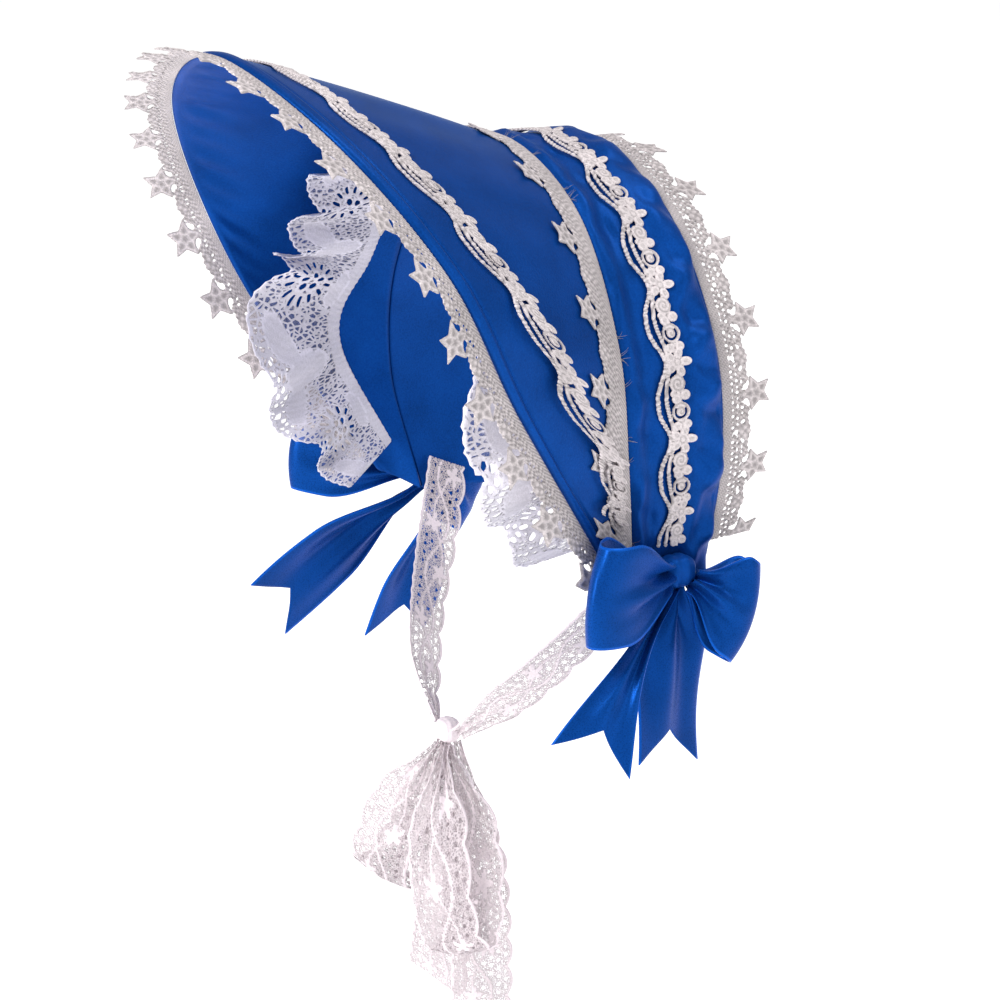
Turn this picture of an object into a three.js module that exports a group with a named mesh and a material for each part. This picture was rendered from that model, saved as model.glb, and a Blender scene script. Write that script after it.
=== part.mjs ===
// A lolita half bonnet: a satin crown band worn from ear to ear, a stiff satin brim that flares forward,
// star-edged and flower laces, a gathered lace frill inside the brim, a satin bow at each ear
// and a lace tie with a bow under the chin.
// Millimetres, +Z up. The wearer faces -Y and the wearer's left is +X.
// The origin is the point of the crown's inner face that sits on the top of the head.
import * as THREE from "three";
import { mergeVertices } from "three/addons/utils/BufferGeometryUtils.js";

// Crown band
const CROWN_HALF_WIDTH = 90;
const CROWN_HEIGHT = 171;
const CROWN_DEPTH = 45.5;
const CROWN_WALL = 2;
const CROWN_PUFF = 4.5;
const CROWN_SLOPE = 5.5;
const CROWN_GATHERS = 3;
const CROWN_GATHER_DEPTH = 0.9;
const CROWN_GATHERS_FROM = 0.72;

// Brim
const BRIM_REACH = 132;
const BRIM_LIFT = 48;
const BRIM_SPREAD = 15.5;
const BRIM_WALL = 3;
const BRIM_BULGE = 1.5;
const BRIM_ROLL = 6;
const BRIM_ROLL_RISE = 1.2;
const BRIM_ROLL_ARC = 0.75 * Math.PI;

// Laces
const LACE_THICKNESS = 1.1;
const STAR_LACE_WIDTH = 24.5;
const STAR_LACE_PITCH = 31;
const EDGE_LACE_TURN = 1.5;
const EDGE_LACE_HIDDEN = 5;
const EDGE_LACE_HEADING = 0.5;
const FLOWER_LACE_WIDTH = 17;
const FLOWER_LACE_PITCH = 32;
const FLOWER_LACE_SETBACK = 18;
const FLOWER_LACE_MARGIN = 2;
const FLOWER_LACE_CLIMB = { from: 0.45, to: 0.56 };
const CROWN_LACE_SETBACK = 12.7;
const CROWN_LACE_EASE = 0.4;

// Gathered frill inside the brim
const FRILL_WIDTH = 44;
const FRILL_END_WIDTH = 24;
const FRILL_THICKNESS = 1.1;
const FRILL_TURN = 9;
const FRILL_WAVE = 4;
const FRILL_PITCH = 28;
const FRILL_SCALLOP = 6;
const FRILL_NARROWS_FROM = 0.66;

// Satin bows
const RIBBON_WIDTH = 41;
const RIBBON_WALL = 1;
const RIBBON_PINCH = 11;
const BOW_KNOT = { x: 11, y: 14, z: 12 };
const BOW_LOOP_FULLNESS = 9;
const BOW_REACH = 60;
const BOW_DROP = 77.5;
const BOW_SEAT = { along: 0.97, across: 0.44 };
const TAIL_NOTCH = 14;
const TAIL_BEND = 0.5;

// Lace tie under the chin
const TIE_WIDTH = 29;
const TIE_THICKNESS = 1;
const TIE_PINCH = 8;
const TIE_SCALLOP = 2;
const CHIN_DROP = 249;
const CHIN_FORWARD = 49;
const CHIN_KNOT = { x: 13, y: 10, z: 13 };
const CHIN_LOOP_FULLNESS = 7;
const CHIN_SPREAD = 40;
const CHIN_FALL = 134;
const CHIN_TAIL_BEND = 0.4;
const CHIN_TAIL_SLANT = 0.2;
const CHIN_TAIL_SCALLOPS = 4;
const CHIN_TURN = 0.35;

// Straps of the tie. The bends at the ear and jaw are shares of CROWN_HALF_WIDTH, CHIN_FORWARD
// and the strap's fall.
const STRAP_SEAT = { along: 0.95, across: 0.4 };
const STRAP_EAR = { inward: 0.2, forward: 0.35, fall: 0.42 };
const STRAP_JAW = { outward: 0.38, back: 0.15, fall: 0.28 };
const STRAP_NARROW = 0.78;
const STRAP_GATHERS_FROM = 0.72;
const STRAP_SCALLOPS = 5;

// Ribbon shapes. opensBy: share of the length by which a ribbon has its full width.
// crease: depth of the folds at the knot, as a share of the pinched width. waves: number of those folds.
// round: how blunt a loop's side view is, with 0 bluntest. apart: half the way between a loop's leaves
// at the knot, in walls. turnsFrom: share of the length from which its wall turns round the far end.
const LOOP_SHAPE = { opensBy: 0.75, crease: 0.25, waves: 1.25, round: 0.35, apart: 1.2, turnsFrom: 0.5 };
const TAIL_SHAPE = { opensBy: 0.45, crease: 0.22, waves: 1 };
const KNOT_SQUARENESS = 0.7;

// Clearances: GAP where edges meet, LACE_GAP under a piece laid on a curved face
const GAP = 0.5;
const LACE_GAP = 0.9;

// Where each trim ends, as a share of the way from the top of the head to the ear
const TRIM_ENDS = { edge: 0.98, seam: 0.95, rear: 0.93, brimFlower: 0.88, crownFlower: 0.92, frill: 0.92 };

// Sections of the bonnet at equal steps from the top of the head (first row) to the ear (last row).
// out: share of CROWN_HALF_WIDTH. drop: share of CROWN_HEIGHT.
// front, rear: shares of CROWN_DEPTH before and behind the origin.
// slope: the rear edge below the seam, as a share of CROWN_SLOPE.
const CROWN_SECTIONS = [
  { out: 0, drop: 0, slope: 1, front: 0.48, rear: 0.53 },
  { out: 0.58, drop: 0.12, slope: 0.7, front: 0.46, rear: 0.54 },
  { out: 0.93, drop: 0.4, slope: 0.3, front: 0.49, rear: 0.57 },
  { out: 1, drop: 0.69, slope: 0, front: 0.46, rear: 0.59 },
  { out: 0.89, drop: 1, slope: 0.65, front: 0.25, rear: 0.56 },
];

// reach, lift, spread: the brim's edge from its seam, as shares of the three brim sizes.
// frill: the frill's stitching line, as a share of the way from the seam to the brim's edge.
const BRIM_SECTIONS = [
  { reach: 1, lift: 1, spread: 0, frill: 0.1 },
  { reach: 0.9, lift: 0.93, spread: 0.73, frill: 0.1 },
  { reach: 0.67, lift: 0.92, spread: 1, frill: 0.13 },
  { reach: 0.45, lift: 0.73, spread: 0.73, frill: 0.38 },
  { reach: 0.13, lift: 0.22, spread: 0.6, frill: 0.2 },
];
const SECTIONS = CROWN_SECTIONS.map((row, i) => ({ ...row, ...BRIM_SECTIONS[i] }));
const ODD_COLUMNS = ["out", "spread"];

// Folds of the crown from its front seam (0) to its rear edge (1). rise: share of CROWN_PUFF.
const CROWN_FOLDS = [
  { across: 0, rise: 0 },
  { across: 0.1, rise: 0.6 },
  { across: 0.22, rise: 0.08 },
  { across: 0.32, rise: 0.35 },
  { across: 0.58, rise: 0.4 },
  { across: 0.7, rise: 0.85 },
  { across: 0.84, rise: 1 },
  { across: 0.94, rise: 0.7 },
  { across: 1, rise: 0 },
];

// The star lace's half repeat, from a valley (along 0) to the middle of a star (along 0.5).
// along: share of the pitch. across: share of the lace's width, from its straight edge.
const STAR_HALF = [
  { along: 0, across: 0 },
  { along: 0.5, across: 0 },
  { along: 0.5, across: 0.85 },
  { along: 0.38, across: 0.99 },
  { along: 0.41, across: 0.79 },
  { along: 0.28, across: 0.72 },
  { along: 0.38, across: 0.62 },
  { along: 0.15, across: 0.51 },
  { along: 0, across: 0.47 },
];
const STAR_OPENING = [
  { along: 0.18, across: 0.2 },
  { along: 0.42, across: 0.24 },
  { along: 0.3, across: 0.46 },
];

// The flower lace's two half repeats: a flower over half a chain festoon, then a ring over the other half.
const FLOWER_HALVES = [
  [
    { along: 0, across: 0.26 },
    { along: 0.26, across: 0.06 },
    { along: 0.5, across: 0 },
    { along: 0.5, across: 0.11 },
    { along: 0.14, across: 0.34 },
    { along: 0.5, across: 0.46 },
    { along: 0.5, across: 0.66 },
    { along: 0.37, across: 1 },
    { along: 0.26, across: 0.8 },
    { along: 0.11, across: 1 },
    { along: 0, across: 0.6 },
  ],
  [
    { along: 0.5, across: 0 },
    { along: 0.74, across: 0.06 },
    { along: 1, across: 0.26 },
    { along: 1, across: 0.6 },
    { along: 0.86, across: 0.88 },
    { along: 0.62, across: 0.86 },
    { along: 0.5, across: 0.66 },
    { along: 0.5, across: 0.46 },
    { along: 0.86, across: 0.34 },
    { along: 0.5, across: 0.11 },
  ],
];

// Where the ends of the satin bows lie, measured from the knot's middle.
// out, forward: shares of BOW_REACH. up: share of BOW_DROP.
// start: the side of the knot that an end leaves, 1 at the front and -1 at the rear.
// lean: slope of a loop's end. turn: how far a tail's face is turned to the front.
const BOW_ENDS = {
  left: [
    { name: "front_loop", out: 0.37, forward: 0.95, up: 0.05, lean: -0.14 },
    { name: "rear_loop", out: 0.28, forward: -0.45, up: -0.27, lean: -0.25 },
    { name: "front_tail", out: 0.45, forward: 1.02, up: -0.8, start: 1, turn: 0.8 },
    { name: "rear_tail", out: 0.15, forward: 0.33, up: -0.98, start: -1, turn: 0.3 },
  ],
  right: [
    { name: "front_loop", out: 0.45, forward: 1, up: 0.19, lean: 0 },
    { name: "rear_loop", out: 0.28, forward: -0.48, up: -0.24, lean: -0.25 },
    { name: "front_tail", out: 0.37, forward: 1.27, up: -0.77, start: 1, turn: 0.5 },
    { name: "rear_tail", out: 0.15, forward: 0.3, up: -1, start: -1, turn: 0.3 },
  ],
};

// The same for the lace bow. across, to the wearer's left, and forward: shares of CHIN_SPREAD.
// down: share of CHIN_FALL.
const CHIN_ENDS = [
  { name: "chin_loop_left", across: 1, forward: 0.18, down: 0.66, start: 1 },
  { name: "chin_loop_right", across: -1, forward: 0.23, down: 0.6, start: 1 },
  { name: "chin_tail_left", across: 0.43, forward: -0.38, down: 1, start: -1.7 },
  { name: "chin_tail_right", across: -0.38, forward: -0.05, down: 0.96, start: -0.6 },
];

// Facets: shares along and across each piece where it has vertices
const even = (steps) => Array.from({ length: steps + 1 }, (_, i) => i / steps);
const CROWN_ALONG = even(28);
const CROWN_ACROSS = CROWN_FOLDS.map((row) => row.across);
const BRIM_ALONG = even(40);
const BRIM_ACROSS = even(3);
const BRIM_ROLL_ACROSS = [0, 0.45, 1];
const FRILL_STEPS_PER_FOLD = 4;
const FRILL_ACROSS = even(3);
const LOOP_ALONG = even(10);
const LOOP_ACROSS = even(4);
const TAIL_ALONG = even(7);
const TAIL_ACROSS = even(4);
const STRAP_ALONG = even(10);
const STRAP_ACROSS = even(2);
const KNOT_AROUND = 10;
const KNOT_UP = 7;

// Step of t and w over which slopes are measured
const STEP = 0.002;

const MATERIALS = {
  satin: new THREE.MeshStandardMaterial({ color: 0x1448a8, roughness: 0.38, metalness: 0 }),
  guipure: new THREE.MeshStandardMaterial({ color: 0xe6dedc, roughness: 0.9, metalness: 0 }),
  frill: new THREE.MeshStandardMaterial({ color: 0xeae6f2, roughness: 0.85, metalness: 0 }),
  tie: new THREE.MeshStandardMaterial({ color: 0xe9dde3, roughness: 0.85, metalness: 0 }),
};

const UP = new THREE.Vector3(0, 0, 1);
const mix = THREE.MathUtils.lerp;
const smooth = THREE.MathUtils.smoothstep;

// Catmull-Rom value through four neighbours, share f of the way from b to c.
function between(a, b, c, d, f) {
  return b + 0.5 * f * (c - a + f * (2 * a - 5 * b + 4 * c - d + f * (3 * (b - c) + d - a)));
}

// A column of SECTIONS at t, which runs from -1 at the right ear over the head to 1 at the left ear.
function section(name, t) {
  const last = SECTIONS.length - 1;
  const mirror = ODD_COLUMNS.includes(name) ? -1 : 1;
  const place = Math.abs(t) * last;
  const i = Math.min(Math.floor(place), last - 1);
  const value = (k) => {
    if (k < 0) return mirror * SECTIONS[-k][name];
    if (k > last) return 2 * SECTIONS[last][name] - SECTIONS[last - 1][name];
    return SECTIONS[k][name];
  };
  const found = between(value(i - 1), value(i), value(i + 1), value(i + 2), place - i);
  return t < 0 ? mirror * found : found;
}

// Height of the crown's folds above its base surface, linear between the rows of CROWN_FOLDS.
function foldHeight(across) {
  const i = Math.max(1, CROWN_FOLDS.findIndex((row) => row.across >= across));
  const [a, b] = [CROWN_FOLDS[i - 1], CROWN_FOLDS[i]];
  return CROWN_PUFF * mix(a.rise, b.rise, (across - a.across) / (b.across - a.across));
}

// The line where brim and crown meet, on their outer faces.
function seamPoint(t) {
  return new THREE.Vector3(
    CROWN_HALF_WIDTH * section("out", t),
    -CROWN_DEPTH * section("front", t),
    CROWN_WALL + (CROWN_SLOPE / 2) * section("slope", t) - CROWN_HEIGHT * section("drop", t),
  );
}

function rearPoint(t) {
  const point = seamPoint(t).setY(CROWN_DEPTH * section("rear", t));
  point.z -= CROWN_SLOPE * section("slope", t);
  return point;
}

function brimEdgePoint(t) {
  return seamPoint(t).add(
    new THREE.Vector3(
      BRIM_SPREAD * section("spread", t),
      -BRIM_REACH * section("reach", t),
      BRIM_LIFT * section("lift", t),
    ),
  );
}

// Unit normal of a surface at (t, w), pointing towards the head.
function normalOf(surface, t, w) {
  const alongT = surface(t + STEP, w).sub(surface(t - STEP, w));
  const alongW = surface(t, w + STEP).sub(surface(t, w - STEP));
  return alongT.cross(alongW).normalize();
}

// The brim between its seam (w = 0) and its edge (w = 1); w may run on past either.
const ruledBrim = (t, w) => seamPoint(t).lerp(brimEdgePoint(t), w);
const ruledCrown = (t, w) => rearPoint(t).lerp(seamPoint(t), w);

// The brim's outer face, with its bulge; lift is a height above it.
function brimPoint(t, w, lift = 0) {
  const bulge = BRIM_BULGE * Math.sin(Math.PI * THREE.MathUtils.clamp(w, 0, 1));
  return ruledBrim(t, w).addScaledVector(normalOf(ruledBrim, t, w), -bulge - lift);
}

// The crown at v, from its front seam (0) to its rear edge (1); lift is a height above its smooth outer face.
function crownPoint(t, v, lift = 0) {
  return ruledCrown(t, 1 - v).addScaledVector(normalOf(ruledCrown, t, 1 - v), -lift);
}

// Height of the crown's folds and, near the ears, of its gathers.
function crownOuterLift(t, v) {
  const gathered = smooth(Math.abs(t), CROWN_GATHERS_FROM, 1) * CROWN_GATHER_DEPTH;
  return foldHeight(v) + gathered * Math.sin(Math.PI * v) * Math.cos(2 * Math.PI * CROWN_GATHERS * v);
}

const brimWidth = (t) => brimEdgePoint(t).distanceTo(seamPoint(t));

// Direction in the brim's surface at (t, w), square to a line that runs round it, pointing forward.
function forwardFrom(line, t, w) {
  const along = line(t + STEP).sub(line(t - STEP)).normalize();
  return normalOf(ruledBrim, t, w).cross(along).normalize();
}

// Sine of the angle at which the brim crosses a line that runs round it at (t, w).
function crossing(line, t, w) {
  const straight = brimEdgePoint(t).sub(seamPoint(t)).normalize();
  return forwardFrom(line, t, w).dot(straight);
}

// Length along a line from t = 0 to each of many even steps of t up to 1.
function lengthTable(line) {
  const steps = 80;
  const lengths = [0];
  for (let i = 1; i <= steps; i++) {
    lengths.push(lengths[i - 1] + line(i / steps).distanceTo(line((i - 1) / steps)));
  }
  return lengths;
}

// The t at which a line's length from the top of the head is s, which may be negative.
function tAtLength(lengths, s) {
  const size = Math.abs(s);
  const steps = lengths.length - 1;
  let i = lengths.findIndex((length) => length >= size);
  if (i < 0) i = steps;
  i = Math.max(i, 1);
  const share = (size - lengths[i - 1]) / (lengths[i] - lengths[i - 1]);
  return (Math.sign(s) * (i - 1 + share)) / steps;
}

// A closed geometry from vertices and triangles, turned so that its faces point out.
function closedGeometry(points, triangles) {
  let volume = 0;
  for (const [a, b, c] of triangles) {
    volume += points[a].dot(new THREE.Vector3().crossVectors(points[b], points[c]));
  }
  const facing = volume < 0 ? triangles.map(([a, b, c]) => [a, c, b]) : triangles;
  const geometry = new THREE.BufferGeometry().setFromPoints(points);
  geometry.setIndex(facing.flat());
  const merged = mergeVertices(geometry, 1e-4);
  merged.computeVertexNormals();
  return merged;
}

// Walls between two copies of an open surface, along each edge that only one triangle has.
function rimTriangles(triangles, shift) {
  const directed = new Set(triangles.flatMap(([a, b, c]) => [`${a}_${b}`, `${b}_${c}`, `${c}_${a}`]));
  const rims = [];
  for (const edge of directed) {
    const [a, b] = edge.split("_").map(Number);
    if (!directed.has(`${b}_${a}`)) rims.push([b, a, a + shift], [b, a + shift, b + shift]);
  }
  return rims;
}

// A closed solid from a front face, its back face on the same vertices and the walls round them.
function solidFromFaces(front, back, triangles) {
  const shift = front.length;
  const behind = triangles.map(([a, b, c]) => [a + shift, c + shift, b + shift]);
  return closedGeometry([...front, ...back], [...triangles, ...behind, ...rimTriangles(triangles, shift)]);
}

// A curved sheet on a grid: front(u, v) and back(u, v) are its two faces at the shares along and across.
function sheetSolid(front, back, along, across) {
  const grid = (face) => along.flatMap((u) => across.map((v) => face(u, v)));
  const triangles = [];
  for (let i = 1; i < along.length; i++) {
    for (let j = 1; j < across.length; j++) {
      const d = i * across.length + j;
      const b = d - across.length;
      triangles.push([b - 1, d - 1, d], [b - 1, d, b]);
    }
  }
  return solidFromFaces(grid(front), grid(back), triangles);
}

// A pierced band: flat polygons of {along, across}, some with openings, bent by place(along, across, lift).
function piercedSolid(polygons, place) {
  const flat = [];
  const found = new Map();
  const triangles = [];
  const vertex = ({ along, across }) => {
    const key = `${along.toFixed(5)}_${across.toFixed(5)}`;
    if (!found.has(key)) found.set(key, flat.push({ along, across }) - 1);
    return found.get(key);
  };
  const flatPoint = ({ along, across }) => new THREE.Vector2(along, across);
  for (const { outline, openings = [] } of polygons) {
    const ids = [outline, ...openings].flat().map(vertex);
    const faces = THREE.ShapeUtils.triangulateShape(
      outline.map(flatPoint),
      openings.map((opening) => opening.map(flatPoint)),
    );
    for (const face of faces) {
      const [a, b, c] = face.map((k) => flat[ids[k]]);
      const turn = (b.along - a.along) * (c.across - a.across) - (c.along - a.along) * (b.across - a.across);
      const [p, q, r] = face.map((k) => ids[k]);
      triangles.push(turn > 0 ? [p, q, r] : [p, r, q]);
    }
  }
  const face = (lift) => flat.map(({ along, across }) => place(along, across, lift));
  return solidFromFaces(face(LACE_THICKNESS), face(0), triangles);
}

const moved = (points, by) => points.map((p) => ({ ...p, along: p.along + by }));
const mirrored = (points) => points.map((p) => ({ ...p, along: 1 - p.along })).reverse();

// Repeats of the star lace, numbered so that a star stands over the top of the head.
function starRepeats(count) {
  const polygons = [];
  for (let i = 0; i < count; i++) {
    const by = i - count / 2;
    polygons.push(
      { outline: moved(STAR_HALF, by), openings: [moved(STAR_OPENING, by)] },
      { outline: moved(mirrored(STAR_HALF), by), openings: [moved(mirrored(STAR_OPENING), by)] },
    );
  }
  return polygons;
}

function flowerRepeats(count) {
  const polygons = [];
  for (let i = 0; i < count; i++) {
    for (const outline of FLOWER_HALVES) polygons.push({ outline: moved(outline, i - count / 2) });
  }
  return polygons;
}

// How many repeats fit a line up to t = end on both sides, and the t of each place along them.
// middle: 0.5 sets a repeat over the top of the head, 0 sets the join of two repeats there.
function fitRepeats(line, end, pitch, middle = 0.5) {
  const lengths = lengthTable(line);
  const half = lengthTable((t) => line(t * end)).at(-1);
  const count = 2 * (Math.round(half / pitch - middle) + middle);
  return { count, at: (along) => tAtLength(lengths, (along * 2 * half) / count) };
}

function crownBand() {
  const gap = GAP / CROWN_DEPTH;
  const across = (v) => mix(gap, 1, v);
  return sheetSolid(
    (u, v) => crownPoint(2 * u - 1, across(v), crownOuterLift(2 * u - 1, across(v))),
    (u, v) => crownPoint(2 * u - 1, across(v), -CROWN_WALL),
    CROWN_ALONG,
    CROWN_ACROSS,
  );
}

// The brim from its seam (v = 0) to the start of its rolled edge (v = 1) and over the roll (v = 2).
function brim() {
  const face = (rise, lift) => (u, v) => {
    const t = 2 * u - 1;
    const plain = 1 - BRIM_ROLL / brimWidth(t);
    const w = v <= 1 ? v * plain : mix(plain, 1, v - 1);
    return brimPoint(t, w, lift + rise * Math.sin(BRIM_ROLL_ARC * Math.max(v - 1, 0)));
  };
  return sheetSolid(face(BRIM_ROLL_RISE, 0), face(-BRIM_ROLL_RISE / 2, -BRIM_WALL), BRIM_ALONG, [
    ...BRIM_ACROSS,
    ...BRIM_ROLL_ACROSS.slice(1).map((v) => v + 1),
  ]);
}

// Star lace caught in the brim's edge by its heading, its stars pointing forward and turned a little inwards.
function edgeLace() {
  const { count, at } = fitRepeats(brimEdgePoint, TRIM_ENDS.edge, STAR_LACE_PITCH, 0);
  return piercedSolid(starRepeats(count), (along, across, lift) => {
    const t = at(along);
    const edge = brimEdgePoint(t);
    const forward = forwardFrom(brimEdgePoint, t, 1);
    const outward = normalOf(ruledBrim, t, 1).negate();
    const middle = (LACE_THICKNESS - BRIM_WALL) / 2;
    const drop = middle - EDGE_LACE_TURN * across ** 2;
    const shown = STAR_LACE_WIDTH * across - EDGE_LACE_HIDDEN * Math.min(1, across / EDGE_LACE_HEADING);
    return edge
      .addScaledVector(forward, GAP + shown)
      .addScaledVector(outward, drop + lift - LACE_THICKNESS);
  });
}

// Star lace laid on the brim along the seam, its stars pointing forward.
function seamLace() {
  const { count, at } = fitRepeats(seamPoint, TRIM_ENDS.seam, STAR_LACE_PITCH);
  return piercedSolid(starRepeats(count), (along, across, lift) => {
    const t = at(along);
    const width = brimWidth(t) * crossing(seamPoint, t, 0);
    return brimPoint(t, (STAR_LACE_WIDTH * across) / width, LACE_GAP + lift);
  });
}

// Star lace sewn under the crown's rear edge, its stars pointing back.
function rearLace() {
  const { count, at } = fitRepeats(rearPoint, TRIM_ENDS.rear, STAR_LACE_PITCH);
  return piercedSolid(starRepeats(count), (along, across, lift) => {
    const t = at(along);
    const inward = normalOf(ruledCrown, t, 0);
    const fall = (STAR_LACE_WIDTH * across) ** 2 / (4 * CROWN_HALF_WIDTH);
    const seat = fall + LACE_THICKNESS - lift;
    const point = crownPoint(t, 1).addScaledVector(inward, seat);
    point.y += GAP + STAR_LACE_WIDTH * across;
    return point;
  });
}

// Flower lace on the brim, set back from its edge.
// Its lower ends bend to run down the seam, over the star lace.
function brimFlowerLace() {
  const { count, at } = fitRepeats(brimEdgePoint, TRIM_ENDS.brimFlower, FLOWER_LACE_PITCH);
  return piercedSolid(flowerRepeats(count), (along, across, lift) => {
    const t = at(along);
    const fromEdge = FLOWER_LACE_SETBACK + FLOWER_LACE_WIDTH * across;
    const fromSeam = FLOWER_LACE_MARGIN + FLOWER_LACE_WIDTH * (1 - across);
    const besideEdge = 1 - fromEdge / (brimWidth(t) * crossing(brimEdgePoint, t, 1));
    const besideSeam = fromSeam / (brimWidth(t) * crossing(seamPoint, t, 0));
    const climbed = smooth(Math.abs(t), FLOWER_LACE_CLIMB.from, FLOWER_LACE_CLIMB.to);
    const over = (LACE_GAP + LACE_THICKNESS) * climbed;
    return brimPoint(t, Math.max(besideEdge, besideSeam), LACE_GAP + over + lift);
  });
}

// Flower lace over the middle of the crown, its flowers to the rear.
function crownFlowerLace() {
  const place = (across) => (CROWN_LACE_SETBACK + FLOWER_LACE_WIDTH * across) / CROWN_DEPTH;
  const middle = (t) => crownPoint(t, place(0.5));
  const { count, at } = fitRepeats(middle, TRIM_ENDS.crownFlower, FLOWER_LACE_PITCH);
  const beside = LACE_THICKNESS / CROWN_DEPTH;
  return piercedSolid(flowerRepeats(count), (along, across, lift) => {
    const t = at(along);
    const v = place(across);
    const folds = [v - beside, v, v + beside].map((near) => crownOuterLift(t, near));
    return crownPoint(t, v, Math.max(...folds) + CROWN_LACE_EASE + GAP + lift);
  });
}

// The frill: stitched to the brim's lining, gathered, its scalloped edge free and turned inwards.
function faceFrill() {
  const end = TRIM_ENDS.frill;
  const stitched = (t) => ruledBrim(t, section("frill", t));
  const lengths = lengthTable(stitched);
  const half = lengthTable((t) => stitched(t * end)).at(-1);
  const folds = 2 * Math.round(half / FRILL_PITCH);
  const point = (u, h, lift) => {
    const t = tAtLength(lengths, (2 * u - 1) * half);
    const phase = Math.PI * folds * u;
    const base = brimPoint(t, section("frill", t), -BRIM_WALL - LACE_GAP);
    const forward = forwardFrom(stitched, t, section("frill", t));
    const inward = normalOf(ruledBrim, t, section("frill", t));
    const width = mix(FRILL_WIDTH, FRILL_END_WIDTH, smooth(Math.abs(t), FRILL_NARROWS_FROM, end));
    const length = width - FRILL_SCALLOP * (1 - Math.abs(Math.sin(phase)));
    const wave = FRILL_WAVE * h * (1 + Math.cos(2 * phase));
    return base
      .addScaledVector(forward, length * h)
      .addScaledVector(inward, FRILL_TURN * h + wave + lift);
  };
  return sheetSolid(
    (u, h) => point(u, h, 0),
    (u, h) => point(u, h, FRILL_THICKNESS),
    even(folds * FRILL_STEPS_PER_FOLD),
    FRILL_ACROSS,
  );
}

// A wrapped ribbon knot: a rounded block about the origin, with its three sizes given.
function knotSolid(sizes) {
  const geometry = new THREE.SphereGeometry(1, KNOT_AROUND, KNOT_UP);
  geometry.deleteAttribute("normal");
  geometry.deleteAttribute("uv");
  const merged = mergeVertices(geometry, 1e-4);
  const position = merged.getAttribute("position");
  const square = (x) => Math.sign(x) * Math.abs(x) ** KNOT_SQUARENESS;
  for (let i = 0; i < position.count; i++) {
    const [x, y, z] = [position.getX(i), position.getY(i), position.getZ(i)];
    position.setXYZ(i, (square(x) * sizes.x) / 2, (square(y) * sizes.y) / 2, (square(z) * sizes.z) / 2);
  }
  merged.computeVertexNormals();
  return merged;
}

// The point beside a knot in a direction, where a ribbon starts: clear of the knot's bounding planes by gap.
function besideKnot(sizes, direction, gap) {
  const way = direction.clone().normalize();
  const power = 2 / (2 - KNOT_SQUARENESS);
  const parts = way.clone().multiply(sizes).multiplyScalar(0.5).toArray();
  const support = parts.reduce((sum, part) => sum + Math.abs(part) ** power, 0) ** (1 / power);
  return way.multiplyScalar(support + gap);
}

// A ribbon loop from a knot's side to a far end: out along its front leaf and back along the other.
// end and start are vectors from the knot's middle; face is the way that the front leaf looks.
function loopSolid({ start, end, face, width, pinch, fullness, wall, lean = 0 }) {
  const reach = end.clone().sub(start);
  const ahead = reach.clone().normalize();
  const side = face.clone().addScaledVector(ahead, -face.dot(ahead)).normalize();
  const upright = new THREE.Vector3().crossVectors(side, ahead).normalize();
  if (upright.dot(UP) < 0) upright.negate();
  const apart = wall * LOOP_SHAPE.apart;
  const profile = (u) => {
    const share = (1 - Math.cos(2 * Math.PI * u)) / 2;
    const swell = fullness * Math.sin(2 * Math.PI * u) * share ** LOOP_SHAPE.round;
    return { share, leaf: apart * Math.cos(Math.PI * u) + swell };
  };
  const point = (u, v, lift) => {
    const across = 2 * v - 1;
    const { share, leaf } = profile(u);
    const [before, after] = [profile(u - STEP), profile(u + STEP)];
    const half = mix(pinch, width, smooth(share, 0, LOOP_SHAPE.opensBy)) / 2;
    const fold = LOOP_SHAPE.crease * pinch * Math.cos(2 * Math.PI * LOOP_SHAPE.waves * across);
    const crease = (1 - share) * fold;
    const offset = new THREE.Vector3()
      .addScaledVector(side, leaf + crease)
      .addScaledVector(ahead, reach.length() * share + lean * across * half * share)
      .addScaledVector(upright, across * half);
    const away = side
      .clone()
      .multiplyScalar(reach.length() * (after.share - before.share))
      .addScaledVector(ahead, before.leaf - after.leaf)
      .normalize()
      .lerp(side.clone().multiplyScalar(u < 0.5 ? 1 : -1), 1 - smooth(share, LOOP_SHAPE.turnsFrom, 1))
      .normalize();
    return offset.add(start).addScaledVector(away, lift);
  };
  return sheetSolid(
    (u, v) => point(u, v, wall / 2),
    (u, v) => point(u, v, -wall / 2),
    LOOP_ALONG,
    LOOP_ACROSS,
  );
}

// A hanging ribbon end along a bent path, pinched at its top, with a shape(across) cut at its foot.
// edge(share) widens or narrows it on the way down.
function tailSolid({ start, bend, end, face, width, pinch, wall, foot, edge = () => 0 }) {
  const path = new THREE.QuadraticBezierCurve3(start, bend, end);
  const length = path.getLength();
  const point = (u, v, lift) => {
    const across = 2 * v - 1;
    const share = u * (1 - (foot(across) / length) * u);
    const ahead = path.getTangentAt(share);
    const side = face.clone().addScaledVector(ahead, -face.dot(ahead)).normalize();
    const upright = new THREE.Vector3().crossVectors(side, ahead);
    const half = mix(pinch, width, smooth(share, 0, TAIL_SHAPE.opensBy)) / 2 + edge(share);
    const fold = TAIL_SHAPE.crease * pinch * Math.cos(2 * Math.PI * TAIL_SHAPE.waves * across);
    return path
      .getPointAt(share)
      .addScaledVector(upright, across * half)
      .addScaledVector(side, (1 - share) * fold + lift);
  };
  return sheetSolid(
    (u, v) => point(u, v, wall / 2),
    (u, v) => point(u, v, -wall / 2),
    TAIL_ALONG,
    TAIL_ACROSS,
  );
}

function mesh(name, geometry, material) {
  const made = new THREE.Mesh(geometry, MATERIALS[material]);
  made.name = name;
  return made;
}

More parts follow.
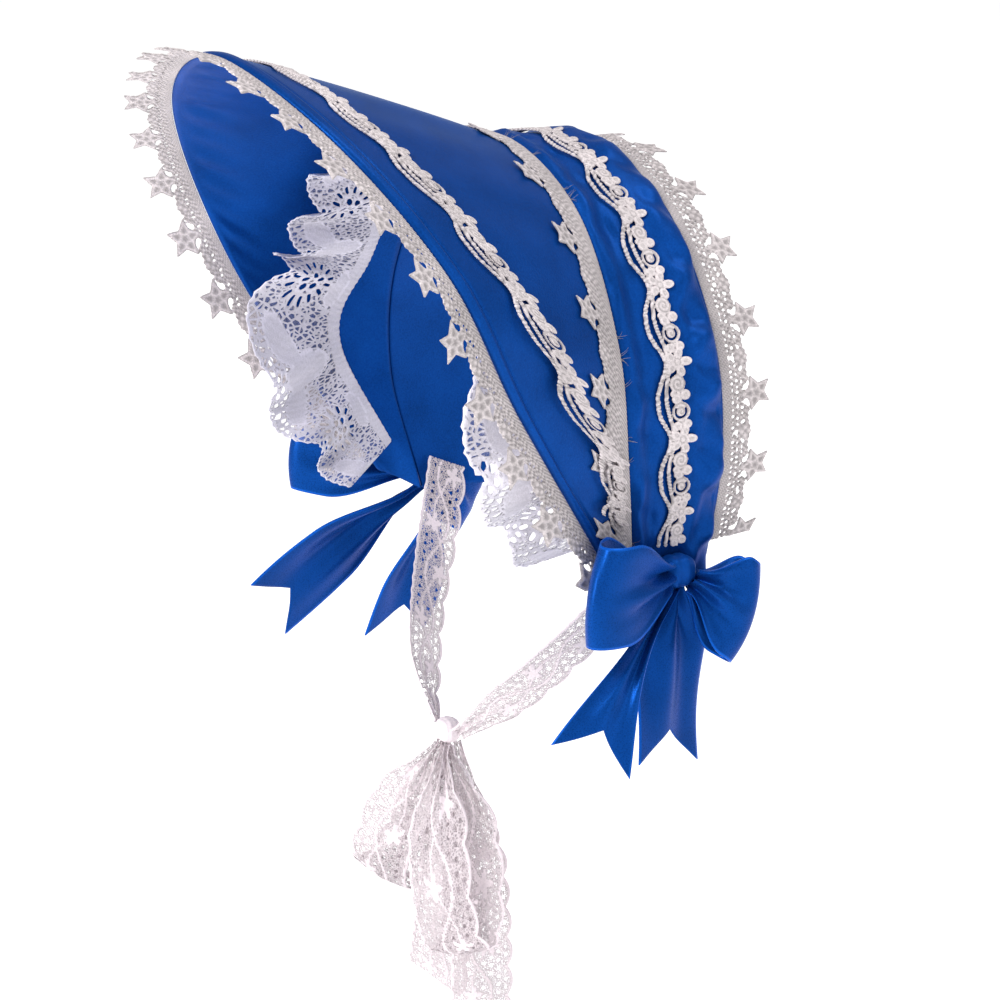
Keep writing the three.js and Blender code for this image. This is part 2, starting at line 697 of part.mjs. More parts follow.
// One satin bow about its knot, as worn at the left ear: two loops, two tails with notched ends and the knot.
function satinBow(side) {
  const bow = new THREE.Group();
  const knotFoot = BOW_KNOT.z / 2 + RIBBON_WALL + GAP;
  bow.add(mesh(`bow_${side}_knot`, knotSolid(BOW_KNOT), "satin"));
  for (const { name, out, forward, up, start, lean, turn } of BOW_ENDS[side]) {
    const end = new THREE.Vector3(out * BOW_REACH, -forward * BOW_REACH, up * BOW_DROP);
    let geometry;
    if (name.endsWith("loop")) {
      geometry = loopSolid({
        start: besideKnot(BOW_KNOT, end, GAP / 2),
        end,
        face: new THREE.Vector3(1, 0, 0),
        width: RIBBON_WIDTH,
        pinch: RIBBON_PINCH,
        fullness: BOW_LOOP_FULLNESS,
        wall: RIBBON_WALL,
        lean,
      });
    } else {
      const top = new THREE.Vector3((start * BOW_KNOT.x) / 5, (-start * BOW_KNOT.y) / 5, -knotFoot);
      const bend = top.clone().lerp(end, TAIL_BEND);
      bend.x += (start * BOW_KNOT.x) / 2;
      geometry = tailSolid({
        start: top,
        bend,
        end,
        face: new THREE.Vector3(1, -turn, 0).normalize(),
        width: RIBBON_WIDTH,
        pinch: RIBBON_PINCH / 2,
        wall: RIBBON_WALL,
        foot: (across) => TAIL_NOTCH * (1 - Math.abs(across)),
      });
    }
    bow.add(mesh(`bow_${side}_${name}`, geometry, "satin"));
  }
  return bow;
}

// The bow's knot sits on the outer face of the crown, just above its lower end.
function bowPlace() {
  const { along, across } = BOW_SEAT;
  const seat = crownPoint(along, across, crownOuterLift(along, across));
  seat.x += BOW_KNOT.x / 2 + GAP + LACE_THICKNESS;
  return seat;
}

// Half of the tie, from inside the crown's lower end along the jaw to the chin knot.
function tieStrap() {
  const top = crownPoint(STRAP_SEAT.along, STRAP_SEAT.across, -CROWN_WALL - 2 * GAP - TIE_THICKNESS);
  const chin = new THREE.Vector3(CHIN_KNOT.x / 2 + TIE_THICKNESS + GAP, -CHIN_FORWARD, -CHIN_DROP);
  const sizes = new THREE.Vector3(CROWN_HALF_WIDTH, CHIN_FORWARD, chin.z - top.z);
  const ear = new THREE.Vector3(-STRAP_EAR.inward, -STRAP_EAR.forward, STRAP_EAR.fall);
  const jaw = new THREE.Vector3(STRAP_JAW.outward, STRAP_JAW.back, -STRAP_JAW.fall);
  const bends = [ear.multiply(sizes).add(top), jaw.multiply(sizes).add(chin)];
  const path = new THREE.CubicBezierCurve3(top, ...bends, chin);
  const point = (u, v, lift) => {
    const ahead = path.getTangentAt(u);
    const place = path.getPointAt(u);
    const out = new THREE.Vector3(place.x, place.y * u, (-u * CROWN_HALF_WIDTH) / 2).normalize();
    const side = out.addScaledVector(ahead, -out.dot(ahead)).normalize();
    const upright = new THREE.Vector3().crossVectors(side, ahead);
    const narrow = mix(TIE_WIDTH * STRAP_NARROW, TIE_PINCH, smooth(u, STRAP_GATHERS_FROM, 1));
    const scallop = TIE_SCALLOP * (1 - u) * Math.abs(Math.sin(STRAP_SCALLOPS * Math.PI * u));
    const half = narrow / 2 + scallop * v;
    return place.addScaledVector(upright, (2 * v - 1) * half).addScaledVector(side, lift);
  };
  return sheetSolid(
    (u, v) => point(u, v, TIE_THICKNESS / 2),
    (u, v) => point(u, v, -TIE_THICKNESS / 2),
    STRAP_ALONG,
    STRAP_ACROSS,
  );
}

// The lace bow under the chin, about its knot: two limp loops in front and two tails behind them.
function chinBow() {
  const bow = new THREE.Group();
  bow.add(mesh("chin_knot", knotSolid(CHIN_KNOT), "tie"));
  for (const { name, across, forward, down, start } of CHIN_ENDS) {
    const side = Math.sign(across);
    const way = new THREE.Vector3(side * CHIN_KNOT.x, -start * CHIN_KNOT.y, -2 * CHIN_KNOT.z);
    const top = besideKnot(CHIN_KNOT, way, GAP);
    const end = new THREE.Vector3(across * CHIN_SPREAD, -forward * CHIN_SPREAD, -down * CHIN_FALL);
    const face = new THREE.Vector3(CHIN_TURN * side, -1, 0).normalize();
    const ribbon = { start: top, end, face, width: TIE_WIDTH, pinch: TIE_PINCH / 2, wall: TIE_THICKNESS };
    let geometry;
    if (start > 0) {
      geometry = loopSolid({ ...ribbon, fullness: CHIN_LOOP_FULLNESS });
    } else {
      geometry = tailSolid({
        ...ribbon,
        bend: top.clone().lerp(end, CHIN_TAIL_BEND).add(new THREE.Vector3(0, CHIN_KNOT.y, 0)),
        foot: (at) => TIE_WIDTH * CHIN_TAIL_SLANT * (1 + side * at),
        edge: (share) => (TIE_SCALLOP / 2) * Math.sin(2 * Math.PI * CHIN_TAIL_SCALLOPS * share),
      });
    }
    bow.add(mesh(name, geometry, "tie"));
  }
  return bow;
}

// Puts a group at a place on the wearer's left, or its mirror image on the right.
function onSide(group, side, place) {
  const mirror = side === "left" ? 1 : -1;
  group.position.set(mirror * place.x, place.y, place.z);
  group.scale.x = mirror;
  return group;
}

function bonnet() {
  const group = new THREE.Group();
  group.add(mesh("crown_band", crownBand(), "satin"));
  group.add(mesh("brim", brim(), "satin"));
  group.add(mesh("edge_star_lace", edgeLace(), "guipure"));
  group.add(mesh("seam_star_lace", seamLace(), "guipure"));
  group.add(mesh("rear_star_lace", rearLace(), "guipure"));
  group.add(mesh("brim_flower_lace", brimFlowerLace(), "guipure"));
  group.add(mesh("crown_flower_lace", crownFlowerLace(), "guipure"));
  group.add(mesh("face_frill", faceFrill(), "frill"));
  const chin = chinBow();
  chin.position.set(0, -CHIN_FORWARD, -CHIN_DROP);
  group.add(chin);
  for (const side of ["left", "right"]) {
    group.add(onSide(satinBow(side), side, bowPlace()));
    const strap = new THREE.Group();
    strap.add(mesh(`tie_strap_${side}`, tieStrap(), "tie"));
    group.add(onSide(strap, side, new THREE.Vector3()));
  }
  return group;
}

export default bonnet();
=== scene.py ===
"""A lolita half bonnet: puffed satin crown, flared satin brim, guipure laces, gathered lace frill,
satin bows at the ears and a lace tie under the chin. Each piece stands for one solid of the frame,
except the frayed threads along the seam lace, which are extra."""

import math

import bpy
import numpy as np
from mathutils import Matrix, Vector


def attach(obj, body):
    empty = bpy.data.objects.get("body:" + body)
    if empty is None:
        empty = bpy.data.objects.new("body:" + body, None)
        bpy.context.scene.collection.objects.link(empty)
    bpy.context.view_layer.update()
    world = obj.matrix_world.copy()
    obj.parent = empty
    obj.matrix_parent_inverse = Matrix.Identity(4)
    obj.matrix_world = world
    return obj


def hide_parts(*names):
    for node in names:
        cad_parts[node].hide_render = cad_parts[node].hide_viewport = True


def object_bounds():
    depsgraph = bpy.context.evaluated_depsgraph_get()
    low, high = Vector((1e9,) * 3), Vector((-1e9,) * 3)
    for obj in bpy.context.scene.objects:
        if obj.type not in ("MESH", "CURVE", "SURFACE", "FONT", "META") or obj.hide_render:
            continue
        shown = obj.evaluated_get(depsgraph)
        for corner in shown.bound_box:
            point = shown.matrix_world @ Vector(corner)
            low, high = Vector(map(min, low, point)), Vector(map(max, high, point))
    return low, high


bl_info = {
    "name": "Lolita bonnet",
    "version": (1, 0, 0),
    "blender": (4, 5, 0),
    "location": "3D View > Sidebar > Bonnet",
    "description": "Makes the satin, laces, frill, bows and tie of a half bonnet",
    "category": "Object",
}

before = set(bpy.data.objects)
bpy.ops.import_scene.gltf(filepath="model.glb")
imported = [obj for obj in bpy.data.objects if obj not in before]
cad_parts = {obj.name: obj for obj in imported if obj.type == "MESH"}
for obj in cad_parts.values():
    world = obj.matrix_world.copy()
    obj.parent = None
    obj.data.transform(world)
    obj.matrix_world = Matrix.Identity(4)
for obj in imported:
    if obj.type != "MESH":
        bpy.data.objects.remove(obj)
SOLIDS_BOX = [[float(x) for x in corner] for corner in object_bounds()]

# Lengths inside the functions are millimetres; they become metres when a mesh is made.
MM = 0.001
PI = math.pi

CROWN_HALF_WIDTH = 90.0
CROWN_HEIGHT = 171.0
CROWN_DEPTH = 45.5
CROWN_WALL = 2.0
CROWN_PUFF = 4.5
CROWN_SLOPE = 5.5
BRIM_REACH = 132.0
BRIM_LIFT = 48.0
BRIM_SPREAD = 15.5
BRIM_WALL = 3.0
BRIM_BULGE = 1.5
STAR_LACE_WIDTH = 24.5
FLOWER_LACE_WIDTH = 17.0
FLOWER_LACE_SETBACK = 18.0
CROWN_LACE_SETBACK = 12.7
GAP = 0.5
LACE_GAP = 0.9
RIBBON_WIDTH = 41.0
TIE_WIDTH = 29.0
STRAP_WIDTH = 23.0
FRILL_WIDTH = 44.0
NOTCH_DEPTH = 14.0
TINY = 1e-9

# How far the laces and the frill reach down the bonnet's sides, from 0 over the head to 1 at the ear.
EDGE_LACE_END = 0.98
SEAM_LACE_END = 0.95
REAR_LACE_END = 0.93
BRIM_FLOWER_END = 0.88
CROWN_FLOWER_END = 0.92
FRILL_END = 0.92

# Sections at equal steps from the top of the head to the ear, as shares of the sizes above.
SECTIONS = {
    "out": (0, 0.58, 0.93, 1, 0.89),
    "drop": (0, 0.12, 0.4, 0.69, 1),
    "slope": (1, 0.7, 0.3, 0, 0.65),
    "front": (0.48, 0.46, 0.49, 0.46, 0.25),
    "rear": (0.53, 0.54, 0.57, 0.59, 0.56),
    "reach": (1, 0.9, 0.67, 0.45, 0.13),
    "lift": (1, 0.93, 0.92, 0.73, 0.22),
    "spread": (0, 0.73, 1, 0.73, 0.6),
    "frill": (0.1, 0.1, 0.13, 0.38, 0.2),
}
ODD_SECTIONS = ("out", "spread")

# The crown's lengthwise folds from its seam (0) to its rear edge (1), as shares of CROWN_PUFF.
CROWN_FOLDS = (
    (0, 0.1, 0.22, 0.32, 0.58, 0.7, 0.84, 0.94, 1),
    (0, 0.6, 0.08, 0.35, 0.4, 0.85, 1, 0.7, 0),
)


class BonnetSizes(bpy.types.PropertyGroup):
    star_pitch: bpy.props.FloatProperty(
        name="Star pitch", description="Length of one repeat of the star lace",
        default=0.031, unit="LENGTH",
    )
    flower_pitch: bpy.props.FloatProperty(
        name="Flower pitch", description="Length of one repeat of the flower lace",
        default=0.032, unit="LENGTH",
    )
    lace_relief: bpy.props.FloatProperty(
        name="Lace relief", description="Height of the thickest lace cords",
        default=0.0011, unit="LENGTH",
    )
    lace_cell: bpy.props.FloatProperty(
        name="Lace detail", description="Smallest detail that the lace meshes hold",
        default=0.00068, unit="LENGTH",
    )
    frill_repeat: bpy.props.FloatProperty(
        name="Frill repeat", description="Length of one repeat of the frill's pattern",
        default=0.054, unit="LENGTH",
    )
    crease_depth: bpy.props.FloatProperty(
        name="Crease depth", description="Depth of the crown's soft cross creases",
        default=0.0022, unit="LENGTH",
    )
    ribbon_wall: bpy.props.FloatProperty(
        name="Ribbon thickness", description="Thickness of the satin ribbon",
        default=0.0007, unit="LENGTH",
    )


class BonnetColours(bpy.types.PropertyGroup):
    satin: bpy.props.FloatVectorProperty(
        name="Satin", description="Colour of the satin",
        subtype="COLOR", size=3, default=(0.003, 0.046, 0.24),
    )
    guipure: bpy.props.FloatVectorProperty(
        name="Guipure", description="Colour of the star and flower laces",
        subtype="COLOR", size=3, default=(0.66, 0.60, 0.61),
    )
    frill: bpy.props.FloatVectorProperty(
        name="Frill", description="Colour of the frill's thread",
        subtype="COLOR", size=3, default=(0.78, 0.75, 0.84),
    )
    tie: bpy.props.FloatVectorProperty(
        name="Tie", description="Colour of the tie's thread",
        subtype="COLOR", size=3, default=(0.80, 0.71, 0.75),
    )


def column(name, t):
    """A column of SECTIONS at t, from -1 at the right ear over the head to 1 at the left ear, on a
    Catmull-Rom curve through the rows."""
    rows = np.array(SECTIONS[name], float)
    mirror = -1.0 if name in ODD_SECTIONS else 1.0
    ends = np.concatenate([[mirror * rows[1]], rows, [2 * rows[-1] - rows[-2]]])
    place = np.abs(t) * (len(rows) - 1)
    i = np.clip(np.floor(place).astype(int), 0, len(rows) - 2)
    f = place - i
    a, b, c, d = (ends[i + k] for k in range(4))
    found = b + 0.5 * f * (c - a + f * (2 * a - 5 * b + 4 * c - d + f * (3 * (b - c) + d - a)))
    return np.where(np.asarray(t) < 0, mirror * found, found)


def stack(x, y, z):
    return np.stack(np.broadcast_arrays(x, y, z), axis=-1)


def unit(vectors):
    return vectors / np.maximum(np.linalg.norm(vectors, axis=-1, keepdims=True), TINY)


def smooth(x, low, high):
    """0 below low, 1 above high, and a smooth step between them."""
    s = np.clip((x - low) / (high - low), 0, 1)
    return s * s * (3 - 2 * s)


def mix(a, b, share):
    return a + (b - a) * share


def seam_line(t):
    return stack(
        CROWN_HALF_WIDTH * column("out", t),
        -CROWN_DEPTH * column("front", t),
        CROWN_WALL + CROWN_SLOPE / 2 * column("slope", t) - CROWN_HEIGHT * column("drop", t),
    )


def rear_line(t):
    line = seam_line(t)
    line[..., 1] = CROWN_DEPTH * column("rear", t)
    line[..., 2] -= CROWN_SLOPE * column("slope", t)
    return line


def edge_line(t):
    return seam_line(t) + stack(
        BRIM_SPREAD * column("spread", t), -BRIM_REACH * column("reach", t), BRIM_LIFT * column("lift", t)
    )


def ruled_brim(t, w):
    return mix(seam_line(t), edge_line(t), np.asarray(w)[..., None])


def ruled_crown(t, w):
    return mix(rear_line(t), seam_line(t), np.asarray(w)[..., None])


def normal_of(surface, t, w):
    """Unit normal of a surface, pointing towards the head: the cross product of its two slopes."""
    step = 0.002
    along = surface(t + step, w) - surface(t - step, w)
    across = surface(t, w + step) - surface(t, w - step)
    return unit(np.cross(along, across))


def brim_point(t, w, lift=0.0):
    """The brim at w, from its seam (0) to its edge (1), bulged out by a half sine, and raised by lift."""
    rise = BRIM_BULGE * np.sin(PI * np.clip(w, 0, 1)) + lift
    return ruled_brim(t, w) - normal_of(ruled_brim, t, w) * np.asarray(rise)[..., None]


def crown_point(t, v, lift=0.0):
    """The crown at v, from its seam (0) to its rear edge (1), raised by lift."""
    lift = np.asarray(lift, float)
    return ruled_crown(t, 1 - v) - normal_of(ruled_crown, t, 1 - v) * lift[..., None]


def brim_width(t):
    return np.linalg.norm(edge_line(t) - seam_line(t), axis=-1)


def forward_from(line, t, w):
    """Unit direction in the brim's surface, square to a line that runs round it, pointing forward."""
    along = unit(line(t + 0.002) - line(t - 0.002))
    return unit(np.cross(normal_of(ruled_brim, t, w), along))


def crossing(line, t, w):
    """Sine of the angle at which the brim's straight lines cross a line that runs round it."""
    straight = unit(edge_line(t) - seam_line(t))
    return (forward_from(line, t, w) * straight).sum(-1)


def lengths_along(points):
    """The length of the way along a row of points, from its start to each of them."""
    return np.concatenate([[0], np.cumsum(np.linalg.norm(np.diff(points, axis=0), axis=1))])


def path_of(points):
    """(length of a row of points, and the function from a share of it to the place on it)."""
    steps = lengths_along(points)
    length = steps[-1]

    def on_path(share):
        return stack(*(np.interp(share * length, steps, points[:, k]) for k in range(3)))

    return length, on_path


def direction_on(on_path, share):
    """Unit direction of a path at a share of its length."""
    return unit(on_path(np.clip(share + 0.01, 0, 1)) - on_path(np.clip(share - 0.01, 0, 1)))


def run_along(line, end):
    """(half the line's length up to t = end, and the function from a length, from the top, to its t)."""
    steps = np.linspace(0, 1, 601)
    lengths = lengths_along(line(steps))

    def at(s):
        return np.sign(s) * np.interp(np.abs(s), lengths, steps)

    return float(np.interp(end, steps, lengths)), at


def fitted(half, pitch):
    """The repeat nearest to pitch that fits an odd number of times into twice half."""
    return 2 * half / (2 * (round(half / pitch - 0.5) + 0.5))


def crown_folds(v):
    """Height of the crown's lengthwise folds: its rows joined by lines, then averaged over a short way."""
    shifts = np.linspace(-0.04, 0.04, 9)
    heights = [np.interp(v + s, *CROWN_FOLDS) for s in shifts]
    ends = smooth(v, 0, 0.05) * smooth(1 - v, 0, 0.05)
    return CROWN_PUFF * np.mean(heights, axis=0) * ends


# Meshes


def mesh_object(name, points, polygons, material, uv=None):
    """A smooth-shaded object from points in millimetres and a list of arrays of polygons, each array
    with as many columns as its polygons have corners. uv gives each point its place on the flat cloth."""
    corners = np.concatenate([p.ravel() for p in polygons]).astype(np.int32)
    totals = np.concatenate([np.full(len(p), p.shape[1]) for p in polygons]).astype(np.int32)
    starts = np.concatenate([[0], np.cumsum(totals)[:-1]]).astype(np.int32)
    mesh = bpy.data.meshes.new(name)
    mesh.vertices.add(len(points))
    mesh.vertices.foreach_set("co", (points * MM).astype(np.float32).ravel())
    mesh.loops.add(len(corners))
    mesh.loops.foreach_set("vertex_index", corners)
    mesh.polygons.add(len(totals))
    mesh.polygons.foreach_set("loop_start", starts)
    mesh.polygons.foreach_set("loop_total", totals)
    mesh.polygons.foreach_set("use_smooth", np.ones(len(totals), bool))
    if uv is not None:
        layer = mesh.uv_layers.new(name="cloth")
        layer.data.foreach_set("uv", (uv[corners] * MM).astype(np.float32).ravel())
    mesh.update(calc_edges=True)
    mesh.validate()
    mesh.materials.append(material)
    obj = bpy.data.objects.new(name, mesh)
    bpy.context.scene.collection.objects.link(obj)
    return obj


def outward(points, polygons):
    """The polygons, all turned round if they enclose a negative volume."""
    volume = 0.0
    for p in polygons:
        first = points[p[:, 0]]
        for k in range(1, p.shape[1] - 1):
            volume += (first * np.cross(points[p[:, k]], points[p[:, k + 1]])).sum()
    return [p[:, ::-1] for p in polygons] if volume < 0 else polygons


def slab(name, front, back, material, uv):
    """A closed sheet from two grids of points, its front and back faces, joined by walls round the rim."""
    rows, columns = front.shape[:2]
    ids = np.arange(rows * columns).reshape(rows, columns)
    quads = np.stack([ids[:-1, :-1], ids[1:, :-1], ids[1:, 1:], ids[:-1, 1:]], -1).reshape(-1, 4)
    shift = rows * columns
    rim = np.concatenate([ids[:, 0], ids[-1, 1:], ids[-2::-1, -1], ids[0, -2:0:-1]])
    after = np.roll(rim, -1)
    walls = np.stack([after, rim, rim + shift, after + shift], 1)
    points = np.concatenate([front.reshape(-1, 3), back.reshape(-1, 3)])
    polygons = outward(points, [quads, quads[:, ::-1] + shift, walls])
    flat = uv.reshape(-1, 2)
    return mesh_object(name, points, polygons, material, np.concatenate([flat, flat]))


def pierced(x, y, field):
    """Marching squares: the flat points, polygons and open edges of the region where field is above 0.
    Each cell's polygon goes round its corners that are inside and the points where the field changes sign."""
    grid_x, grid_y = np.meshgrid(x, y, indexing="ij")
    value = field(grid_x, grid_y)
    for side in (np.s_[0, :], np.s_[-1, :], np.s_[:, 0], np.s_[:, -1]):
        value[side] = np.minimum(value[side], -0.02)
    inside = value > 0
    corner_ids = np.cumsum(inside).reshape(inside.shape) - 1
    count = int(inside.sum())
    flat = [np.stack([grid_x[inside], grid_y[inside]], 1)]
    cut_ids = []
    for axis in (0, 1):
        low, high = (np.s_[:-1, :], np.s_[1:, :]) if axis == 0 else (np.s_[:, :-1], np.s_[:, 1:])
        cut = inside[low] != inside[high]
        share = np.clip(value[low][cut] / (value[low] - value[high])[cut], 0.08, 0.92)
        flat.append(np.stack([mix(g[low][cut], g[high][cut], share) for g in (grid_x, grid_y)], 1))
        cut_ids.append(count + np.cumsum(cut).reshape(cut.shape) - 1)
        count += int(cut.sum())
    cells = (np.s_[:-1, :-1], np.s_[1:, :-1], np.s_[1:, 1:], np.s_[:-1, 1:])
    codes = sum(inside[c].astype(int) << k for k, c in enumerate(cells))
    nodes = [corner_ids[c] for c in cells]
    edges = [cut_ids[0][:, :-1], cut_ids[1][1:, :], cut_ids[0][:, 1:], cut_ids[1][:-1, :]]
    polygons, rims = [], []
    for case in range(1, 16):
        chosen = codes == case
        if not chosen.any():
            continue
        walk, leaving = [], []
        for k in range(4):
            here, ahead = case >> k & 1, case >> (k + 1) % 4 & 1
            if here:
                walk.append(nodes[k][chosen])
            if here != ahead:
                if here:
                    leaving.append(len(walk))
                walk.append(edges[k][chosen])
        polygons.append(np.stack(walk, 1))
        rims += [np.stack([walk[k], walk[(k + 1) % len(walk)]], 1) for k in leaving]
    return np.concatenate(flat), polygons, np.concatenate(rims)


def lace_object(name, pattern, length, width, cell, place, thickness, material, closed=None):
    """A pierced lace: pattern(x, y) gives the signed distance into the thread and its relief, and
    place(x, y, height) bends the flat lace, whose x runs from -length to length, on to the bonnet.
    closed(x, y) is 1 where the cloth is solid and 0 where its material shows an open net."""
    x = np.arange(-length, length + cell, cell)
    y = np.arange(-cell, width + 2 * cell, cell)
    flat, polygons, rims = pierced(x, y, lambda a, b: pattern(a, b)[0])
    depth, relief = pattern(flat[:, 0], flat[:, 1])
    rounded = np.sqrt(np.clip(depth / 0.7, 0, 1))
    height = thickness * (0.3 + 0.7 * relief * rounded)
    front = place(flat[:, 0], flat[:, 1], height)
    back = place(flat[:, 0], flat[:, 1], np.zeros(len(flat)))
    shift = len(flat)
    walls = np.stack([rims[:, 0], rims[:, 0] + shift, rims[:, 1] + shift, rims[:, 1]], 1)
    points = np.concatenate([front, back])
    faces = outward(points, [*polygons, *[p[:, ::-1] + shift for p in polygons], walls])
    lace = mesh_object(name, points, faces, material, np.concatenate([flat, flat]))
    # The relief attribute takes the thread's relief to the material, where it paints shade into the grooves.
    masks = {"relief": relief}
    if closed is not None:
        masks["closed"] = closed(flat[:, 0], flat[:, 1])
    for label, mask in masks.items():
        layer = lace.data.attributes.new(label, "FLOAT", "POINT")
        layer.data.foreach_set("value", np.clip(np.concatenate([mask, mask]), 0, 1).astype(np.float32))
    return lace


LEAST_AREA_SHARE = 0.31


def half_area(obj):
    """Half the area of a closed sheet's surface as it is modelled, in square metres."""
    areas = np.zeros(len(obj.data.polygons))
    obj.data.polygons.foreach_get("area", areas)
    return float(areas.sum() / 2)


def cloth(obj, nodes, flat):
    """Hands a finished cloth piece to the frame: it rides with the bonnet and stands for its solids."""
    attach(obj, "root")
    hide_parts(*nodes)
    width, length = flat
    area = min(max(half_area(obj), LEAST_AREA_SHARE * width * length), width * length)


def trim(obj, slot, *nodes):
    """Hands a finished knot or thread to the frame: it rides with the bonnet."""
    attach(obj, "root")
    if nodes:
        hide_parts(*nodes)


# Lace patterns. Each gives the signed distance into the thread in millimetres, above 0 on the thread,
# and the thread's relief from 0 to 1, which raises the thread and also sets the painted shade in its grooves.


def wrap(x, period):
    return (x + period / 2) % period - period / 2


def disc(x, y, centre_x, centre_y, radius):
    return radius - np.hypot(x - centre_x, y - centre_y)


def ridge(x, place, width):
    """1 at a place, falling to both sides as a Gaussian of a width."""
    return np.exp(-(((x - place) / width) ** 2))


def five_star(x, y, radius, inner):
    """Distance into a five-pointed star about the origin that has two points towards +y: the plane is
    folded into one of ten equal wedges, where the star's side is one straight line."""
    angle = np.arctan2(x, y) - PI / 5
    folded = np.abs(wrap(angle, 2 * PI / 5))
    reach = np.hypot(x, y)
    px, py = reach * np.cos(folded), reach * np.sin(folded)
    dx, dy = inner * math.cos(PI / 5) - radius, inner * math.sin(PI / 5)
    size = math.hypot(dx, dy)
    return -((px - radius) * dy - py * dx) / size


def star_lace(pitch, body, openness, phase=0.0, slotted=False):
    """Star lace: a ribbed heading, an embroidered body up to the height body, with a net of uneven
    holes as far as openness asks, paired slots where slotted, two large holes at each star's foot, a
    small flower between two stars, and on each repeat a five-pointed star with a raised outline and a
    raised star inside it."""
    star_y = body + 3.9

    def pattern(x, y):
        x = x + phase * pitch
        a = wrap(x, pitch)
        b = wrap(x + pitch / 2, pitch)
        top = body + 1.5 * ridge(b, 0, 3.4) + 2.2 * ridge(a, 0, 5.5)
        top = top + 0.3 * np.cos(2 * PI * x / 2.3)
        cloth_depth = np.minimum(y + 0.3, top - y)
        row = np.floor((y - 3.7) / 2.2)
        hole_x = wrap(x + 1.35 * (row % 2) + 0.35 * np.sin(2.1 * row + 0.6 * x), 2.7)
        uneven = np.sin(1.9 * x + 2.7 * row) * np.sin(0.83 * x - 1.6 * row)
        size = openness * (0.72 + 0.42 * uneven) - (1 - openness) * 2
        rows = (row >= 0) & (y < body - 1.6)
        net = np.where(rows, size - np.hypot(hole_x, 1.1 * (y - 3.7 - 2.2 * (row + 0.5))), -1)
        flower_y = body - 1.4
        flower = disc(b, y, 0, flower_y, 2.9)
        net = np.where((flower > -0.3) | (np.hypot(a, y - body + 1.4) < 1.5), -1, net)
        feet = np.maximum(disc(np.abs(a), y, 3.1, body - 0.9, 1.3), disc(np.abs(a), y, 4.3, body + 0.5, 1.15))
        beside = disc(np.abs(b), y, 4.3, body - 2.0, 0.85 * openness)
        beside = np.maximum(beside, disc(b, y, 0, body - 5.4, 1.1))
        beside = np.where(openness > 0, beside, -1)
        slots = np.minimum(0.5 - np.abs(np.abs(wrap(x, 6.2)) - 1.0), 1.1 - np.abs(y - 8.6 - 0.8 * np.sin(x)))
        feet = np.maximum(feet, np.where(slotted, slots, -1))
        cloth_depth = np.minimum(cloth_depth, -np.maximum(np.maximum(net, feet), beside))
        star = five_star(a, y - star_y, 8.1, 4.0)
        depth = np.maximum(cloth_depth, star)
        outline = ridge(star, 0.7, 0.45)
        middle = ridge(five_star(a, star_y - y, 3.4, 1.7), 0.2, 0.5)
        reach = np.hypot(b, y - flower_y)
        petals = np.abs(np.cos(2 * np.arctan2(b, y - flower_y))) * ridge(reach, 1.7, 0.9)
        stitches = 0.4 * np.sin(2.7 * x + 1.4 * np.sin(1.1 * y)) * np.sin(2.4 * y + 0.8 * np.sin(1.3 * x))
        ribs = np.where(y < 3.4, 0.25 * np.cos(2 * PI * (x + y) / 1.9), stitches)
        face = np.where(flower > 0, 0.4 + 0.6 * petals, 0.6 + ribs)
        return depth, np.clip(np.where(star > 0, 0.42 + 0.5 * outline + 0.45 * middle, face), 0, 1)

    return pattern


def festoon(x, y, pitch, low, rise, power):
    """A twisted cord hung in festoons: (distance into it, relief of its twist). It runs at the height
    low + rise times a power of a cosine, so it is highest once in each repeat."""
    share = np.abs(np.cos(PI * x / pitch))
    slope = PI / pitch * power * rise * share ** (power - 1) * np.abs(np.sin(PI * x / pitch))
    lean = np.hypot(1, slope)
    away = np.abs(y - low - rise * share**power) / lean
    twist = np.cos(2 * PI * (x * lean + 0.5 * y) / 2.0)
    return 0.95 * (0.84 + 0.16 * twist) - away, 0.72 + 0.28 * twist


